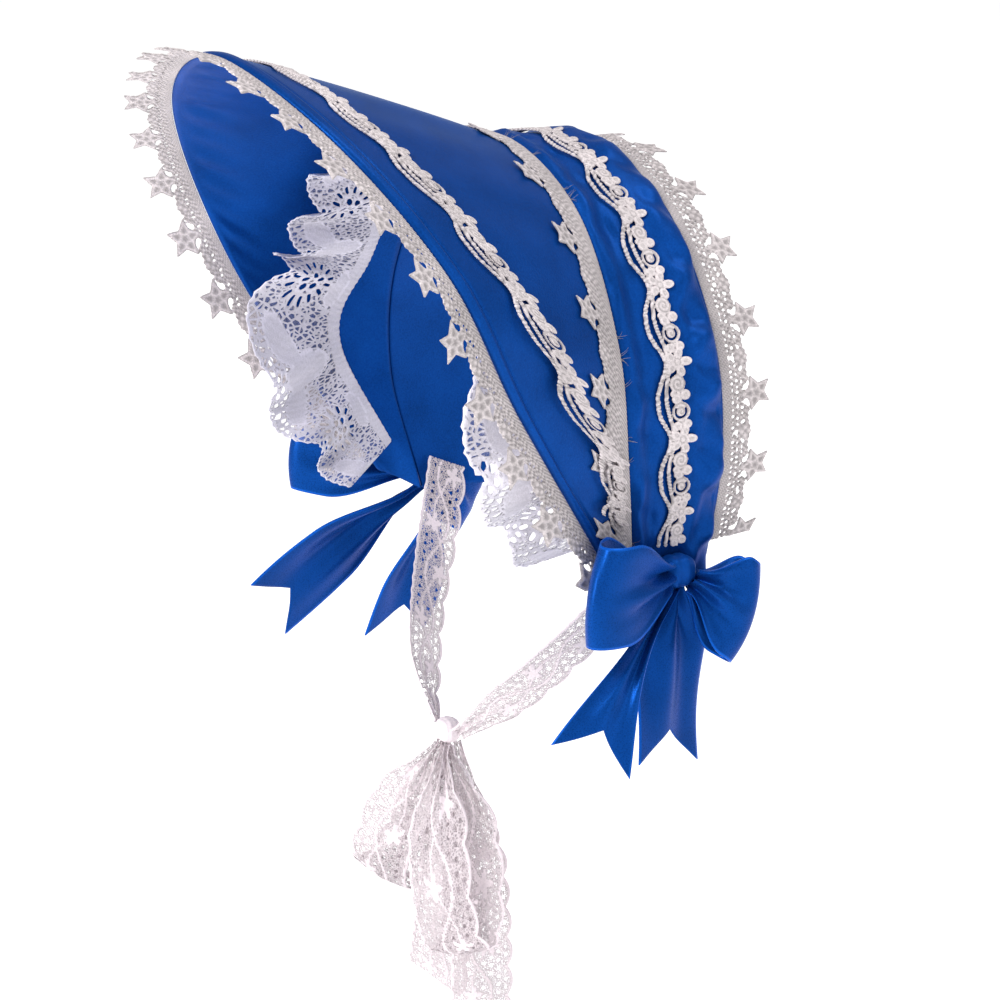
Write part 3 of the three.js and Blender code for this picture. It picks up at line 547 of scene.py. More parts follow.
def flower_lace(pitch):
    """Flower lace: on each repeat a five-petalled flower, a coiled rose, a sprig of leaves, a ring with
    a coil in it and a second sprig, each a group of discs, and twisted cords in festoons in front."""

    def pattern(x, y):
        a = wrap(x, pitch)
        depth, relief = festoon(x, y, pitch, 1.2, 5.0, 3.0)
        inner, inner_relief = festoon(x + 1.5, y, pitch, 4.9, 2.6, 2.0)
        relief = np.where(inner > depth, inner_relief, relief)
        depth = np.maximum(depth, inner)
        spine = 1.0 - np.abs(y - 10.9 - 0.7 * np.sin(4 * PI * x / pitch))
        spine = np.where((np.abs(a) > 4) & (np.abs(wrap(x - 19.6, pitch)) > 2.5), spine, -1)
        depth = np.maximum(depth, spine)
        for centre_x, centre_y, radius in (
            (13.1, 13.3, 2.1),
            (14.4, 9.3, 1.9),
            (12.3, 8.0, 1.2),
            (24.9, 13.6, 1.9),
            (25.4, 9.2, 1.8),
            (27.2, 11.7, 1.3),
        ):
            leaf = disc(wrap(x - centre_x, pitch), y, 0, centre_y, radius)
            relief = np.where(leaf > 0, 1 - 0.35 * ridge(leaf, 0.7 * radius, 0.5), relief)
            depth = np.maximum(depth, leaf)
        for centre_x, centre_y, radius, gap_from in ((8.4, 10.3, 3.5, 9), (19.6, 11.0, 4.0, 2.4)):
            dx = wrap(x - centre_x, pitch)
            reach, angle = np.hypot(dx, y - centre_y), np.arctan2(y - centre_y, dx)
            coil = radius - reach
            gap = np.where(np.abs(angle) < 2.3, 0.5 - np.abs(reach - gap_from), -1)
            spiral = 0.5 + 0.5 * np.cos(2 * PI * reach / 1.7 - angle)
            relief = np.where(coil > 0, 0.5 + 0.5 * spiral, relief)
            depth = np.where(coil > 0, np.minimum(np.maximum(coil, depth), -gap), depth)
        for k in range(5):
            turn = PI / 2 + 2 * PI * k / 5
            out = a * math.cos(turn) + (y - 11.4) * math.sin(turn)
            side = (y - 11.4) * math.cos(turn) - a * math.sin(turn)
            petal = 1.75 * (1 - np.hypot((out - 3.6) / 2.5, side / 1.75))
            relief = np.where(petal > 0, 1 - 0.4 * ridge(petal, 1.25, 0.45), relief)
            depth = np.maximum(depth, petal)
        button = disc(a, y, 0, 11.4, 1.7)
        relief = np.where(button > 0, 1 - 0.45 * ridge(button, 0.4, 0.4), relief)
        return np.maximum(depth, button), relief

    return pattern


def frill_edge(x, y, repeat, width):
    """Distance inside the frill's free edge: pointed scallops, two in each repeat, with fine teeth."""
    scallop = 5.4 * np.abs(np.sin(2 * PI * x / repeat)) ** 0.85
    return width - 6.0 + scallop + 0.5 * np.cos(2 * PI * x / 2.6) - y


def frill_lace(repeat, width):
    """Frill lace: an open flower of five round holes inside a ring of slits by turns with solid petals,
    and a smaller flower of holes near the free edge."""

    def pattern(x, y):
        b = wrap(x + repeat / 2, repeat)
        edge = frill_edge(x, y, repeat, width)
        relief = np.full(np.shape(y), 0.5)
        holes = np.full(np.shape(y), -1.0)
        for shift, centre_y, spread, radius in (
            (0, width * 0.52, 3.6, 1.5),
            (0, width * 0.84, 2.5, 1.0),
            (repeat / 2, width * 0.8, 2.6, 1.1),
        ):
            dx = wrap(b + shift, repeat)
            reach = np.hypot(dx, y - centre_y)
            five = np.abs(wrap(np.arctan2(dx, y - centre_y), 2 * PI / 5))
            ring = radius - np.hypot(reach * np.cos(five) - spread, reach * np.sin(five))
            holes = np.maximum(holes, ring)
            relief = np.where(np.abs(ring + 0.55) < 0.55, 1.0, relief)
        reach = np.hypot(b, y - width * 0.52)
        angle = np.arctan2(b, y - width * 0.52)
        slit = 0.75 - np.abs(wrap(angle, 2 * PI / 14)) * reach
        slit = np.minimum(slit, np.minimum(reach - 6.9, 10.6 - reach))
        holes = np.maximum(holes, slit)
        outline = np.abs(frill_petals(x, y, repeat, width) - 0.05)
        relief = np.where(outline < 0.07, 1.0, relief + 0.12 * np.cos(2 * PI * (x + 2 * np.cos(y / 4)) / 2.2))
        relief = np.where(edge < 1.3, 0.95, relief)
        return np.minimum(np.minimum(y + 0.5, edge), -holes), relief

    return pattern


def frill_petals(x, y, repeat, width):
    """Above 0 inside the frill's solid petals: three leaning ellipses in each repeat and one small one."""
    inside = np.full(np.shape(y), -9.0)
    for centre, rise, long, wide, lean in (
        (0, 0.44, 12, 5.5, 0.0),
        (-9, 0.66, 9, 4.6, 0.7),
        (9, 0.66, 9, 4.6, -0.7),
        (27, 0.17, 4, 9.5, 0.0),
    ):
        dx, dy = wrap(x - centre, repeat), y - rise * width
        along = dy * math.cos(lean) - dx * math.sin(lean)
        across = dx * math.cos(lean) + dy * math.sin(lean)
        inside = np.maximum(inside, 1 - np.hypot(along / long, across / wide))
    return inside


def frill_closed(repeat, width):
    """1 on the frill's petals, hole rims, stitched side and free edge, 0 on its net."""
    pattern = frill_lace(repeat, width)

    def closed(x, y):
        rims = pattern(x, y)[0] < 1.0
        petals = frill_petals(x, y, repeat, width) > 0
        return (rims | petals | (y < 5)).astype(float)

    return closed


def tie_edge(x, across, width, repeat):
    """Distance inside the tie's two edges, of which one is nearly straight and the other scalloped."""
    wave = np.where(across > 0, 2.6 * np.abs(np.sin(1.5 * PI * x / repeat)) ** 0.7 - 2.4, 0.25 * np.sin(x))
    return width / 2 - 0.4 + wave - np.abs(across)


def tie_sprigs(x, across, repeat):
    """Above 0 on the tie's woven sprigs: a wavy vine, its tendril and a five-petalled flower by turns
    on its two sides."""
    vine = 0.55 - np.abs(across - 4.6 * np.sin(PI * x / repeat)) * 0.85
    tendril = 0.45 - np.abs(across + 4.2 * np.sin(PI * x / repeat + 0.8)) * 0.85
    side = np.where(np.floor(x / repeat) % 2 == 0, 1.0, -1.0)
    dx, dy = wrap(x - repeat / 2, repeat), across + 4.0 * side
    petals = 1.4 + 3.4 * np.abs(np.cos(2.5 * np.arctan2(dx, dy))) - np.hypot(dx, dy)
    return np.maximum(np.maximum(vine, tendril), petals)


def tie_lace(width, repeat=23.0):
    """Lace ribbon between corded edges, with large openings beside the sprigs; the fine net between
    them is in its material."""

    def pattern(x, y):
        across = y - width / 2
        edge = tie_edge(x, across, width, repeat)
        sprigs = tie_sprigs(x, across, repeat)
        row = np.floor(y / 3.4)
        eyelets = 0.95 - np.hypot(wrap(x + 2.1 * (row % 2), 4.2), y - 3.4 * (row + 0.5))
        eyelets = np.where((sprigs > -0.9) | (edge < 2.2), -1, eyelets)
        relief = np.where((sprigs > 0) | (edge < 1.4), 1.0, 0.3)
        return np.minimum(edge, -eyelets), relief

    return pattern


def tie_closed(width, repeat=23.0):
    """1 on the tie's edge cords and sprigs, 0 on its net."""

    def closed(x, y):
        across = y - width / 2
        cords = tie_edge(x, across, width, repeat) < 1.3
        return (cords | (tie_sprigs(x, across, repeat) > 0)).astype(float)

    return closed


# Materials


def node_group(name, inputs, outputs):
    """An empty shader node group with the named inputs and outputs: (group, nodes, start, end)."""
    group = bpy.data.node_groups.new(name, "ShaderNodeTree")
    for label, kind, default in inputs:
        socket = group.interface.new_socket(label, in_out="INPUT", socket_type=kind)
        if default is not None:
            socket.default_value = default
    for label, kind in outputs:
        group.interface.new_socket(label, in_out="OUTPUT", socket_type=kind)
    return group, group.nodes, group.nodes.new("NodeGroupInput"), group.nodes.new("NodeGroupOutput")


def maths(nodes, link, operation, *inputs):
    """The output of a Math node whose inputs are numbers or other nodes' outputs."""
    node = nodes.new("ShaderNodeMath")
    node.operation = operation
    for socket, value in zip(node.inputs, inputs):
        if isinstance(value, (int, float)):
            socket.default_value = value
        else:
            link(value, socket)
    return node.outputs[0]


def recolour(material, blend_type="MIX"):
    """(nodes, link, a Mix node set between a material's colour and its shader)."""
    nodes, link = material.node_tree.nodes, material.node_tree.links.new
    shader = nodes["Principled BSDF"]
    blend = nodes.new("ShaderNodeMix")
    blend.data_type = "RGBA"
    blend.blend_type = blend_type
    link(shader.inputs["Base Color"].links[0].from_socket, blend.inputs["A"])
    link(blend.outputs["Result"], shader.inputs["Base Color"])
    return nodes, link, blend


def thread_group():
    """Fine grain of thread: small noise for the height, and the same with a wide noise for the tint."""
    group, nodes, start, end = node_group(
        "Thread grain",
        [("Vector", "NodeSocketVector", None), ("Fineness", "NodeSocketFloat", 1500.0)],
        [("Tint", "NodeSocketFloat"), ("Height", "NodeSocketFloat")],
    )
    link = group.links.new
    fine = nodes.new("ShaderNodeTexNoise")
    fine.inputs["Detail"].default_value = 3
    fine.inputs["Roughness"].default_value = 0.65
    wide = nodes.new("ShaderNodeTexNoise")
    wide.inputs["Scale"].default_value = 45
    wide.inputs["Detail"].default_value = 2
    link(start.outputs["Vector"], fine.inputs["Vector"])
    link(start.outputs["Fineness"], fine.inputs["Scale"])
    link(start.outputs["Vector"], wide.inputs["Vector"])
    share = maths(nodes, link, "MULTIPLY", wide.outputs["Fac"], 0.4)
    link(maths(nodes, link, "MULTIPLY_ADD", fine.outputs["Fac"], 0.6, share), end.inputs["Tint"])
    link(fine.outputs["Fac"], end.inputs["Height"])
    return group


def net_group():
    """Open net: solid along the edges of Voronoi cells and wherever Closed is 1, see-through elsewhere."""
    least_veil = 0.12
    group, nodes, start, end = node_group(
        "Open net",
        [
            ("Vector", "NodeSocketVector", None),
            ("Closed", "NodeSocketFloat", 1.0),
            ("Thread", "NodeSocketFloat", 0.1),
        ],
        [("Alpha", "NodeSocketFloat")],
    )
    link = group.links.new
    cells = nodes.new("ShaderNodeTexVoronoi")
    cells.feature = "DISTANCE_TO_EDGE"
    cells.inputs["Scale"].default_value = 1.0
    link(start.outputs["Vector"], cells.inputs["Vector"])
    thread = maths(nodes, link, "LESS_THAN", cells.outputs["Distance"], start.outputs["Thread"])
    solid = maths(nodes, link, "MAXIMUM", thread, start.outputs["Closed"])
    link(maths(nodes, link, "MAXIMUM", solid, least_veil), end.inputs["Alpha"])
    return group


def open_net(material, group, cells, thread):
    """Makes a cloth material see-through between the threads of a net of cells per metre on its UV map."""
    nodes, link = material.node_tree.nodes, material.node_tree.links.new
    place = nodes.new("ShaderNodeTexCoord")
    size = nodes.new("ShaderNodeMapping")
    size.inputs["Scale"].default_value = (*cells, 1)
    closed = nodes.new("ShaderNodeAttribute")
    closed.attribute_name = "closed"
    net = nodes.new("ShaderNodeGroup")
    net.node_tree = group
    net.inputs["Thread"].default_value = thread
    link(place.outputs["UV"], size.inputs["Vector"])
    link(size.outputs["Vector"], net.inputs["Vector"])
    link(closed.outputs["Fac"], net.inputs["Closed"])
    link(net.outputs["Alpha"], nodes["Principled BSDF"].inputs["Alpha"])


def paint_groove_shade(material, deepest_shade):
    """Paints shade into a lace's colour in its grooves: its relief from 0 to 1 scales the colour from the
    deepest painted shade up to 1.
    """
    nodes, link, blend = recolour(material, "MULTIPLY")
    relief = nodes.new("ShaderNodeAttribute")
    relief.attribute_name = "relief"
    depth = nodes.new("ShaderNodeMapRange")
    depth.inputs["From Min"].default_value = 0.35
    depth.inputs["From Max"].default_value = 0.9
    depth.inputs["To Min"].default_value = deepest_shade
    link(relief.outputs["Fac"], depth.inputs["Value"])
    blend.inputs["Factor"].default_value = 1
    link(depth.outputs["Result"], blend.inputs["B"])


def woven_edges(material, width, light):
    """Gives a ribbon material paler woven edges: a mask of the UV map's distance from its middle."""
    nodes, link, blend = recolour(material)
    place = nodes.new("ShaderNodeTexCoord")
    parts = nodes.new("ShaderNodeSeparateXYZ")
    link(place.outputs["UV"], parts.inputs[0])
    away = maths(nodes, link, "ABSOLUTE", maths(nodes, link, "SUBTRACT", parts.outputs["Y"], width / 2))
    mask = nodes.new("ShaderNodeMapRange")
    mask.inputs["From Min"].default_value = width / 2 - 0.0012
    mask.inputs["From Max"].default_value = width / 2 - 0.0006
    link(away, mask.inputs["Value"])
    link(mask.outputs["Result"], blend.inputs["Factor"])
    blend.inputs["B"].default_value = (*light, 1)


def cloth_material(name, group, dark, light, fineness, bump, roughness, vector="Object", **sockets):
    """A cloth finish: the thread grain tints the colour from dark to light, roughens it and raises it."""
    material = bpy.data.materials.new(name)
    material.use_nodes = True
    nodes, link = material.node_tree.nodes, material.node_tree.links.new
    shader = nodes["Principled BSDF"]
    place = nodes.new("ShaderNodeTexCoord")
    grain = nodes.new("ShaderNodeGroup")
    grain.node_tree = group
    grain.inputs["Fineness"].default_value = fineness
    link(place.outputs[vector], grain.inputs["Vector"])
    ramp = nodes.new("ShaderNodeValToRGB")
    ramp.color_ramp.elements[0].position = 0.3
    ramp.color_ramp.elements[0].color = (*dark, 1)
    ramp.color_ramp.elements[1].position = 0.7
    ramp.color_ramp.elements[1].color = (*light, 1)
    link(grain.outputs["Tint"], ramp.inputs["Fac"])
    link(ramp.outputs["Color"], shader.inputs["Base Color"])
    rough = nodes.new("ShaderNodeMapRange")
    rough.inputs["To Min"].default_value = roughness - 0.06
    rough.inputs["To Max"].default_value = roughness + 0.06
    link(grain.outputs["Height"], rough.inputs["Value"])
    link(rough.outputs["Result"], shader.inputs["Roughness"])
    raised = nodes.new("ShaderNodeBump")
    raised.inputs["Strength"].default_value = bump
    raised.inputs["Distance"].default_value = 0.0004
    link(grain.outputs["Height"], raised.inputs["Height"])
    link(raised.outputs["Normal"], shader.inputs["Normal"])
    for label, value in sockets.items():
        shader.inputs[label.replace("_", " ")].default_value = value
    return material


def shade(colour, share):
    return tuple(c * share for c in colour)


def materials():
    """The bonnet's finishes, made once."""
    if bpy.data.materials.get("Royal satin") is None:
        colours = bpy.context.scene.bonnet_colours
        group, net = thread_group(), net_group()
        gloss = {
            "Metallic": 0.3,
            "Specular_IOR_Level": 0.12,
            "Specular_Tint": (0.12, 0.42, 1, 1),
            "Sheen_Weight": 0.1,
            "Sheen_Roughness": 0.35,
            "Sheen_Tint": (0.1, 0.4, 1, 1),
        }
        dark, light = shade(colours.satin, 0.76), shade(colours.satin, 1.45)
        cloth_material("Royal satin", group, dark, light, 1250, 0.3, 0.32, **gloss)
        ribbon = cloth_material("Ribbon satin", group, dark, light, 1700, 0.16, 0.28, **gloss)
        woven_edges(ribbon, RIBBON_WIDTH * MM, shade(colours.satin, 2.2))
        dark, light = shade(colours.guipure, 0.75), shade(colours.guipure, 1.35)
        guipure = cloth_material("Guipure thread", group, dark, light, 1300, 0.9, 0.85)
        # Painted shade in the guipure's grooves, down to 0.42 of its colour where the relief is lowest.
        paint_groove_shade(guipure, 0.42)
        dark, light = shade(colours.frill, 0.8), shade(colours.frill, 1.12)
        frill = cloth_material("Frill thread", group, dark, light, 1300, 0.6, 0.8)
        open_net(frill, net, (760, 330), 0.13)
        # Painted shade in the frill's grooves, down to 0.8 of its colour where the relief is lowest.
        paint_groove_shade(frill, 0.8)
        dark, light = shade(colours.tie, 0.8), shade(colours.tie, 1.12)
        tie = cloth_material("Tie thread", group, dark, light, 1300, 0.5, 0.8)
        open_net(tie, net, (1050, 1050), 0.11)
        # Painted shade in the tie's grooves, down to 0.78 of its colour where the relief is lowest.
        paint_groove_shade(tie, 0.78)
        cloth_material("Tie cord", group, dark, light, 1300, 0.7, 0.8)
    return bpy.data.materials


# Satin pieces


def grid(rows, columns):
    """Two arrays of shares from 0 to 1, along and across a piece."""
    return np.meshgrid(np.linspace(0, 1, rows), np.linspace(0, 1, columns), indexing="ij")


def make_crown():
    """Crown: the ruled band from seam to rear edge, raised by its lengthwise folds and by soft cross
    creases. They are a sum of three waves along the band, two of them sharpened by a power, strongest on
    its puffed rear half and weaker over the head."""
    depth = bpy.context.scene.bonnet_sizes.crease_depth / MM
    u, v = grid(301, 61)
    t = 2 * u - 1
    half, _ = run_along(rear_line, 1)
    s = half * t
    v = mix(GAP / CROWN_DEPTH, 1, v)
    waves = (
        1.2 * (0.5 + 0.5 * np.cos(2 * PI * s / 29 + 9 * v + 0.9 * np.sin(s / 17))) ** 1.7
        - 0.9 * (0.5 + 0.5 * np.cos(2 * PI * s / 21 - 7 * v + 1 + np.sin(s / 23))) ** 2.2
        + 0.5 * np.sin(2 * PI * s / 47 + 3 * v + 2)
    )
    puffed = smooth(v, 0.64, 0.78) * smooth(1 - v, 0.0, 0.08) * (0.45 + 0.55 * smooth(np.abs(t), 0.08, 0.35))
    strip = smooth(v, 0.04, 0.12) * smooth(0.34 - v, 0.0, 0.1)
    gathers = smooth(np.abs(t), 0.72, 1) * np.sin(PI * v) * np.cos(6 * PI * v)
    lift = crown_folds(v) + depth * (puffed + 0.4 * strip) * waves + 0.9 * gathers
    outer = crown_point(t, v, lift)
    inner = crown_point(t, v, -CROWN_WALL)
    crown = slab("crown_satin", outer, inner, materials()["Royal satin"], np.stack([s, v * CROWN_DEPTH], -1))
    cloth(crown, ["crown_band"], (0.056, 0.44))


def make_brim():
    """Brim: one closed profile carried round the head. It runs from the seam over the outer satin to
    the edge, which is piped (a Gaussian ridge with a groove behind it), round a full soft roll, and back
    along the lining, which has shallow dents."""
    roll_steps = 12
    t = np.linspace(-1, 1, 361)
    w = np.concatenate([np.linspace(0, 0.9, 32), np.linspace(0.905, 1, 20)])
    width = brim_width(t)[:, None]
    inset = 3.2 / width
    s = run_along(edge_line, 1)[0] * t[:, None]
    t_grid, w_grid = np.meshgrid(t, w, indexing="ij")
    w_face = w_grid * (1 - inset)
    ripple = 0.22 * np.sin(2 * PI * s / 57 + 3 * w_grid) + 0.16 * np.sin(2 * PI * s / 31 - 4 * w_grid)
    beside = (1 - w_grid) * width
    stuffed = ridge(beside, 0, 9)
    piping = 1.1 * ridge(beside, 1.2, 2.4) - 0.5 * ridge(beside, 5.4, 1.0)
    outer = brim_point(t_grid, w_face, piping + ripple * np.sin(PI * w_grid))
    dents = smooth(w_grid, 0.72, 0.9) * smooth(1 - w_grid, 0.0, 0.08)
    dent = 0.42 * np.sin(2 * PI * s / 17) + 0.3 * np.sin(2 * PI * s / 27 + 1)
    sag = 0.35 * np.sin(2 * PI * s / 71 + 2) * np.sin(PI * w_grid)
    lining = brim_point(t_grid, w_face, -BRIM_WALL - 0.35 * stuffed + dents * dent + sag)
    turn = np.linspace(0, PI, roll_steps + 2)[1:-1]
    t_roll, turn = np.meshgrid(t, turn, indexing="ij")
    middle = (0.85 - BRIM_WALL - 0.35) / 2
    radius = (BRIM_WALL + 1.2) / 2
    roll_w = 1 - inset + inset * np.sin(turn)
    roll = brim_point(t_roll, roll_w, middle + radius * np.cos(turn))
    profile = np.concatenate([outer, roll, lining[:, ::-1]], axis=1)
    rows, columns = profile.shape[:2]
    ids = np.arange(rows * columns).reshape(rows, columns)
    after = np.roll(ids, -1, axis=1)
    quads = np.stack([ids[:-1], ids[1:], after[1:], after[:-1]], -1).reshape(-1, 4)
    caps = [np.stack([e[:-1], e[1:], o[1:], o[:-1]], -1) for e, o in (
        (ids[0, : columns // 2], ids[0, ::-1][: columns // 2]),
        (ids[-1, : columns // 2][::-1], ids[-1, ::-1][: columns // 2][::-1]),
    )]
    points = profile.reshape(-1, 3)
    girth = lengths_along(profile[rows // 2])
    uv = np.stack(np.broadcast_arrays(s, girth[None, :]), -1).reshape(-1, 2)
    polygons = outward(points, [quads, *caps])
    brim = mesh_object("brim_satin", points, polygons, materials()["Royal satin"], uv)
    cloth(brim, ["brim"], (0.15, 0.58))


# Laces


def make_star_laces():
    """The three star laces: in the brim's edge, on the brim along the seam, and under the rear edge. The
    edge lace's stars are close at the top and further apart towards the ears, as counts and places say."""
    sizes = bpy.context.scene.bonnet_sizes
    thread = materials()["Guipure thread"]
    relief, cell, pitch = sizes.lace_relief / MM, sizes.lace_cell / MM, sizes.star_pitch / MM

    half, at_edge = run_along(edge_line, EDGE_LACE_END)
    repeat = 25.0
    counts = np.linspace(0, 14, 281)
    places = 22.8 * counts + 0.82 * np.maximum(0, counts - 2.5) ** 2
    plain = star_lace(repeat, 13.6, 0.0, 0.5, slotted=True)

    def edging(x, y):
        return plain(repeat * np.sign(x) * np.interp(np.abs(x), places, counts), y)

    def on_edge(x, y, height):
        t = at_edge(x)
        share = np.clip(y / STAR_LACE_WIDTH, 0, 1)
        forward = forward_from(edge_line, t, 1)
        out = -normal_of(ruled_brim, t, 1)
        shown = y - 5 * np.minimum(1, share / 0.5)
        wave = 0.5 * np.sin(2 * PI * x / 43) * share
        drop = -1.0 - BRIM_WALL / 2 + 0.55 - 1.5 * share**2 + wave
        return edge_line(t) + forward * (GAP + shown)[..., None] + out * (drop + height)[..., None]

    lace = lace_object("edge_star_guipure", edging, half, STAR_LACE_WIDTH, cell, on_edge, relief, thread)
    cut = (STAR_LACE_WIDTH * MM, 2 * half * MM)
    cloth(lace, ["edge_star_lace"], cut)

    half, at_seam = run_along(seam_line, SEAM_LACE_END)
    exact = fitted(half, pitch)

    def on_seam(x, y, height):
        t = at_seam(x)
        w = y / (brim_width(t) * crossing(seam_line, t, 0))
        tips = 0.9 * smooth(y, 15, STAR_LACE_WIDTH)
        return brim_point(t, w, LACE_GAP - 0.4 + tips + height)

    seam_lace = star_lace(exact, 11.8, 0.0, -0.3)
    lace = lace_object("seam_star_guipure", seam_lace, half, STAR_LACE_WIDTH, cell, on_seam, relief, thread)
    cut = (STAR_LACE_WIDTH * MM, 2 * half * MM)
    cloth(lace, ["seam_star_lace"], cut)

    half, at_rear = run_along(rear_line, REAR_LACE_END)
    exact = fitted(half, pitch)

    def on_rear(x, y, height):
        t = at_rear(x)
        inward = normal_of(ruled_crown, t, 0)
        fall = y**2 / (4 * CROWN_HALF_WIDTH) + 0.5 * np.sin(2 * PI * x / 37) * y / STAR_LACE_WIDTH
        place = crown_point(t, 1) + inward * (fall + 1.1 - height)[..., None]
        place[..., 1] += GAP + 1.12 * y
        return place

    rear_lace = star_lace(exact, 11.8, 1.0, 0.5)
    lace = lace_object("rear_star_guipure", rear_lace, half, STAR_LACE_WIDTH, cell, on_rear, relief, thread)
    cut = (STAR_LACE_WIDTH * MM, 2 * half * MM)
    cloth(lace, ["rear_star_lace"], cut)


def make_frayed_threads():
    """Frayed ends along the seam lace's rear side: each is a thin three-sided tube on a short curve."""
    random = np.random.default_rng(7)
    half, at_seam = run_along(seam_line, 0.93)
    tufts, hairs, steps, sides = 26, 3, 6, 3
    count = tufts * hairs
    start = np.repeat(random.uniform(-half, half, tufts), hairs)[:, None] + random.uniform(-1, 1, (count, 1))
    u = np.linspace(0, 1, steps)[None, :]
    drift = random.uniform(-2.2, 2.2, (count, 1)) * u + random.uniform(-1.8, 1.8, (count, 1)) * u**2
    away = random.uniform(1.0, 3.4, (count, 1)) * u
    t = at_seam(start + drift)
    v = (away + 0.2) / CROWN_DEPTH
    middle = crown_point(t, v, crown_folds(v) + 0.9 + 0.9 * u)
    angle = 2 * PI * np.arange(sides) / sides
    radius = (0.13 * (1 - 0.6 * u))[..., None, None]
    ring = stack(np.cos(angle), np.zeros(sides), np.sin(angle))
    points = (middle[:, :, None, :] + radius * ring).reshape(-1, 3)
    ids = np.arange(count * steps * sides).reshape(count, steps, sides)
    after = np.roll(ids, -1, axis=2)
    quads = np.stack([ids[:, :-1], after[:, :-1], after[:, 1:], ids[:, 1:]], -1).reshape(-1, 4)
    polygons = outward(points, [quads, ids[:, 0, ::-1], ids[:, -1]])
    threads = mesh_object("seam_frayed_threads", points, polygons, materials()["Guipure thread"])
    trim(threads, "guipure")


def make_flower_laces():
    """The two flower laces: on the brim, running down over the star lace, and over the crown's middle."""
    sizes = bpy.context.scene.bonnet_sizes
    thread = materials()["Guipure thread"]
    relief, cell, pitch = sizes.lace_relief / MM, 0.84 * sizes.lace_cell / MM, sizes.flower_pitch / MM

    half, at_edge = run_along(edge_line, BRIM_FLOWER_END)
    exact = fitted(half, pitch)

    def on_brim(x, y, height):
        t = at_edge(x)
        width = brim_width(t)
        beside_edge = 1 - (FLOWER_LACE_SETBACK + y) / (width * crossing(edge_line, t, 1))
        beside_seam = (2 + FLOWER_LACE_WIDTH - y) / (width * crossing(seam_line, t, 0))
        climb = 2.0 * smooth(np.abs(t), 0.45, 0.56)
        return brim_point(t, np.maximum(beside_edge, beside_seam), LACE_GAP - 0.3 + climb + height)

    lace = lace_object(
        "brim_flower_guipure", flower_lace(exact), half, FLOWER_LACE_WIDTH, cell, on_brim, relief, thread
    )
    cut = (FLOWER_LACE_WIDTH * MM, 2 * half * MM)
    cloth(lace, ["brim_flower_lace"], cut)

    def middle(t):
        v = (CROWN_LACE_SETBACK + FLOWER_LACE_WIDTH / 2) / CROWN_DEPTH
        return crown_point(t, np.full(np.shape(t), v))

    half, at_middle = run_along(middle, CROWN_FLOWER_END)
    exact = fitted(half, pitch)

    def on_crown(x, y, height):
        t = at_middle(x)
        v = (CROWN_LACE_SETBACK + y) / CROWN_DEPTH
        return crown_point(t, v, crown_folds(v) + 1.1 + height)

    lace = lace_object(
        "crown_flower_guipure", flower_lace(exact), half, FLOWER_LACE_WIDTH, cell, on_crown, relief, thread
    )
    cut = (FLOWER_LACE_WIDTH * MM, 2 * half * MM)
    cloth(lace, ["crown_flower_lace"], cut)


def make_frill():
    """Frill: a flat lace band gathered on a line inside the brim. Its folds are a cosine wave that grows
    from the stitching to the free edge, and the band turns inwards as it goes, more so at the sides."""
    sizes = bpy.context.scene.bonnet_sizes
    width, repeat = FRILL_WIDTH, sizes.frill_repeat / MM
    fold_pitch, end = 28.0, FRILL_END

    def stitched(t):
        return ruled_brim(t, column("frill", t))

    half, at = run_along(stitched, end)
    folds = 2 * round(half / fold_pitch)

    def gathered(x, y, height):
        t = at(x)
        w = column("frill", t)
        share = np.clip(y / width, 0, 1)
        phase = PI * folds * (x / half + 1) / 2
        base = brim_point(t, w, -BRIM_WALL - LACE_GAP)
        forward = forward_from(stitched, t, w)
        inward = normal_of(ruled_brim, t, w)
        fuller = smooth(np.abs(t), 0.3, 0.55)
        length = y * (1 + 0.12 * fuller - 0.24 * smooth(np.abs(t), 0.72, end))
        length = length - 6 * share * (1 - np.abs(np.sin(phase)))
        ruffle = 4 * share * (1 + np.cos(2 * phase)) + 0.8 * share * np.sin(5.3 * phase + 1)
        small = 0.35 * np.sin(2 * PI * x / 3.1) * np.exp(-y / 4)
        turned = (9 + 7 * fuller) * share + ruffle + small - height
        return base + forward * length[..., None] + inward * turned[..., None]

    lace = lace_object(
        "frill_lace", frill_lace(repeat, width), half, width, 0.98, gathered, 0.9,
        materials()["Frill thread"], frill_closed(repeat, width),
    )
    cut = (FRILL_WIDTH * MM, 2 * half * MM)
    cloth(lace, ["face_frill"], cut)


# Bows. Ends are measured from a knot's middle, in millimetres: out from the head, forward and up.

BOW_ENDS = {
    "left": (
        ("front_loop", (22.2, 57, 3.9), -0.14),
        ("rear_loop", (16.8, -27, -20.9), -0.25),
        ("front_tail", (27, 61.2, -62), 1),
        ("rear_tail", (9, 9, -79), -1),
    ),
    "right": (
        ("front_loop", (27, 60, 14.7), 0.0),
        ("rear_loop", (16.8, -28.8, -18.6), -0.25),
        ("front_tail", (22.2, 76.2, -59.7), 1),
        ("rear_tail", (9, 18, -77.5), -1),
    ),
}
# Each tail's turn about its own length, the shares of its length between which it opens to its full
# width, and how far its bend lies from the middle of its straight line.
TAILS = {
    "left_front_tail": (0.8, (0.2, 1.3), (1, 0, 9)),
    "left_rear_tail": (-0.3, (0, 0.4), (-5.5, 0, 0)),
    "right_front_tail": (0.5, (0, 0.6), (5.5, 0, 0)),
    "right_rear_tail": (0.3, (0, 0.7), (-5.5, 0, 0)),
}


def bow_seat():
    """The middle of the left bow's knot, on the crown's outer face just above its lower end."""
    t, v = np.array(0.97), np.array(0.44)
    point = crown_point(t, v, crown_folds(v) + 0.9 * np.sin(PI * v) * np.cos(6 * PI * v))
    return point + np.array([5.5 + GAP + 1.1, 0, 0])


def beside_knot(sizes, direction, gap):
    """Point in a direction from a knot's middle that clears the knot's bounding planes by gap."""
    way = unit(direction)
    power = 2 / 1.3
    return way * ((np.abs(way * sizes / 2) ** power).sum() ** (1 / power) + gap)


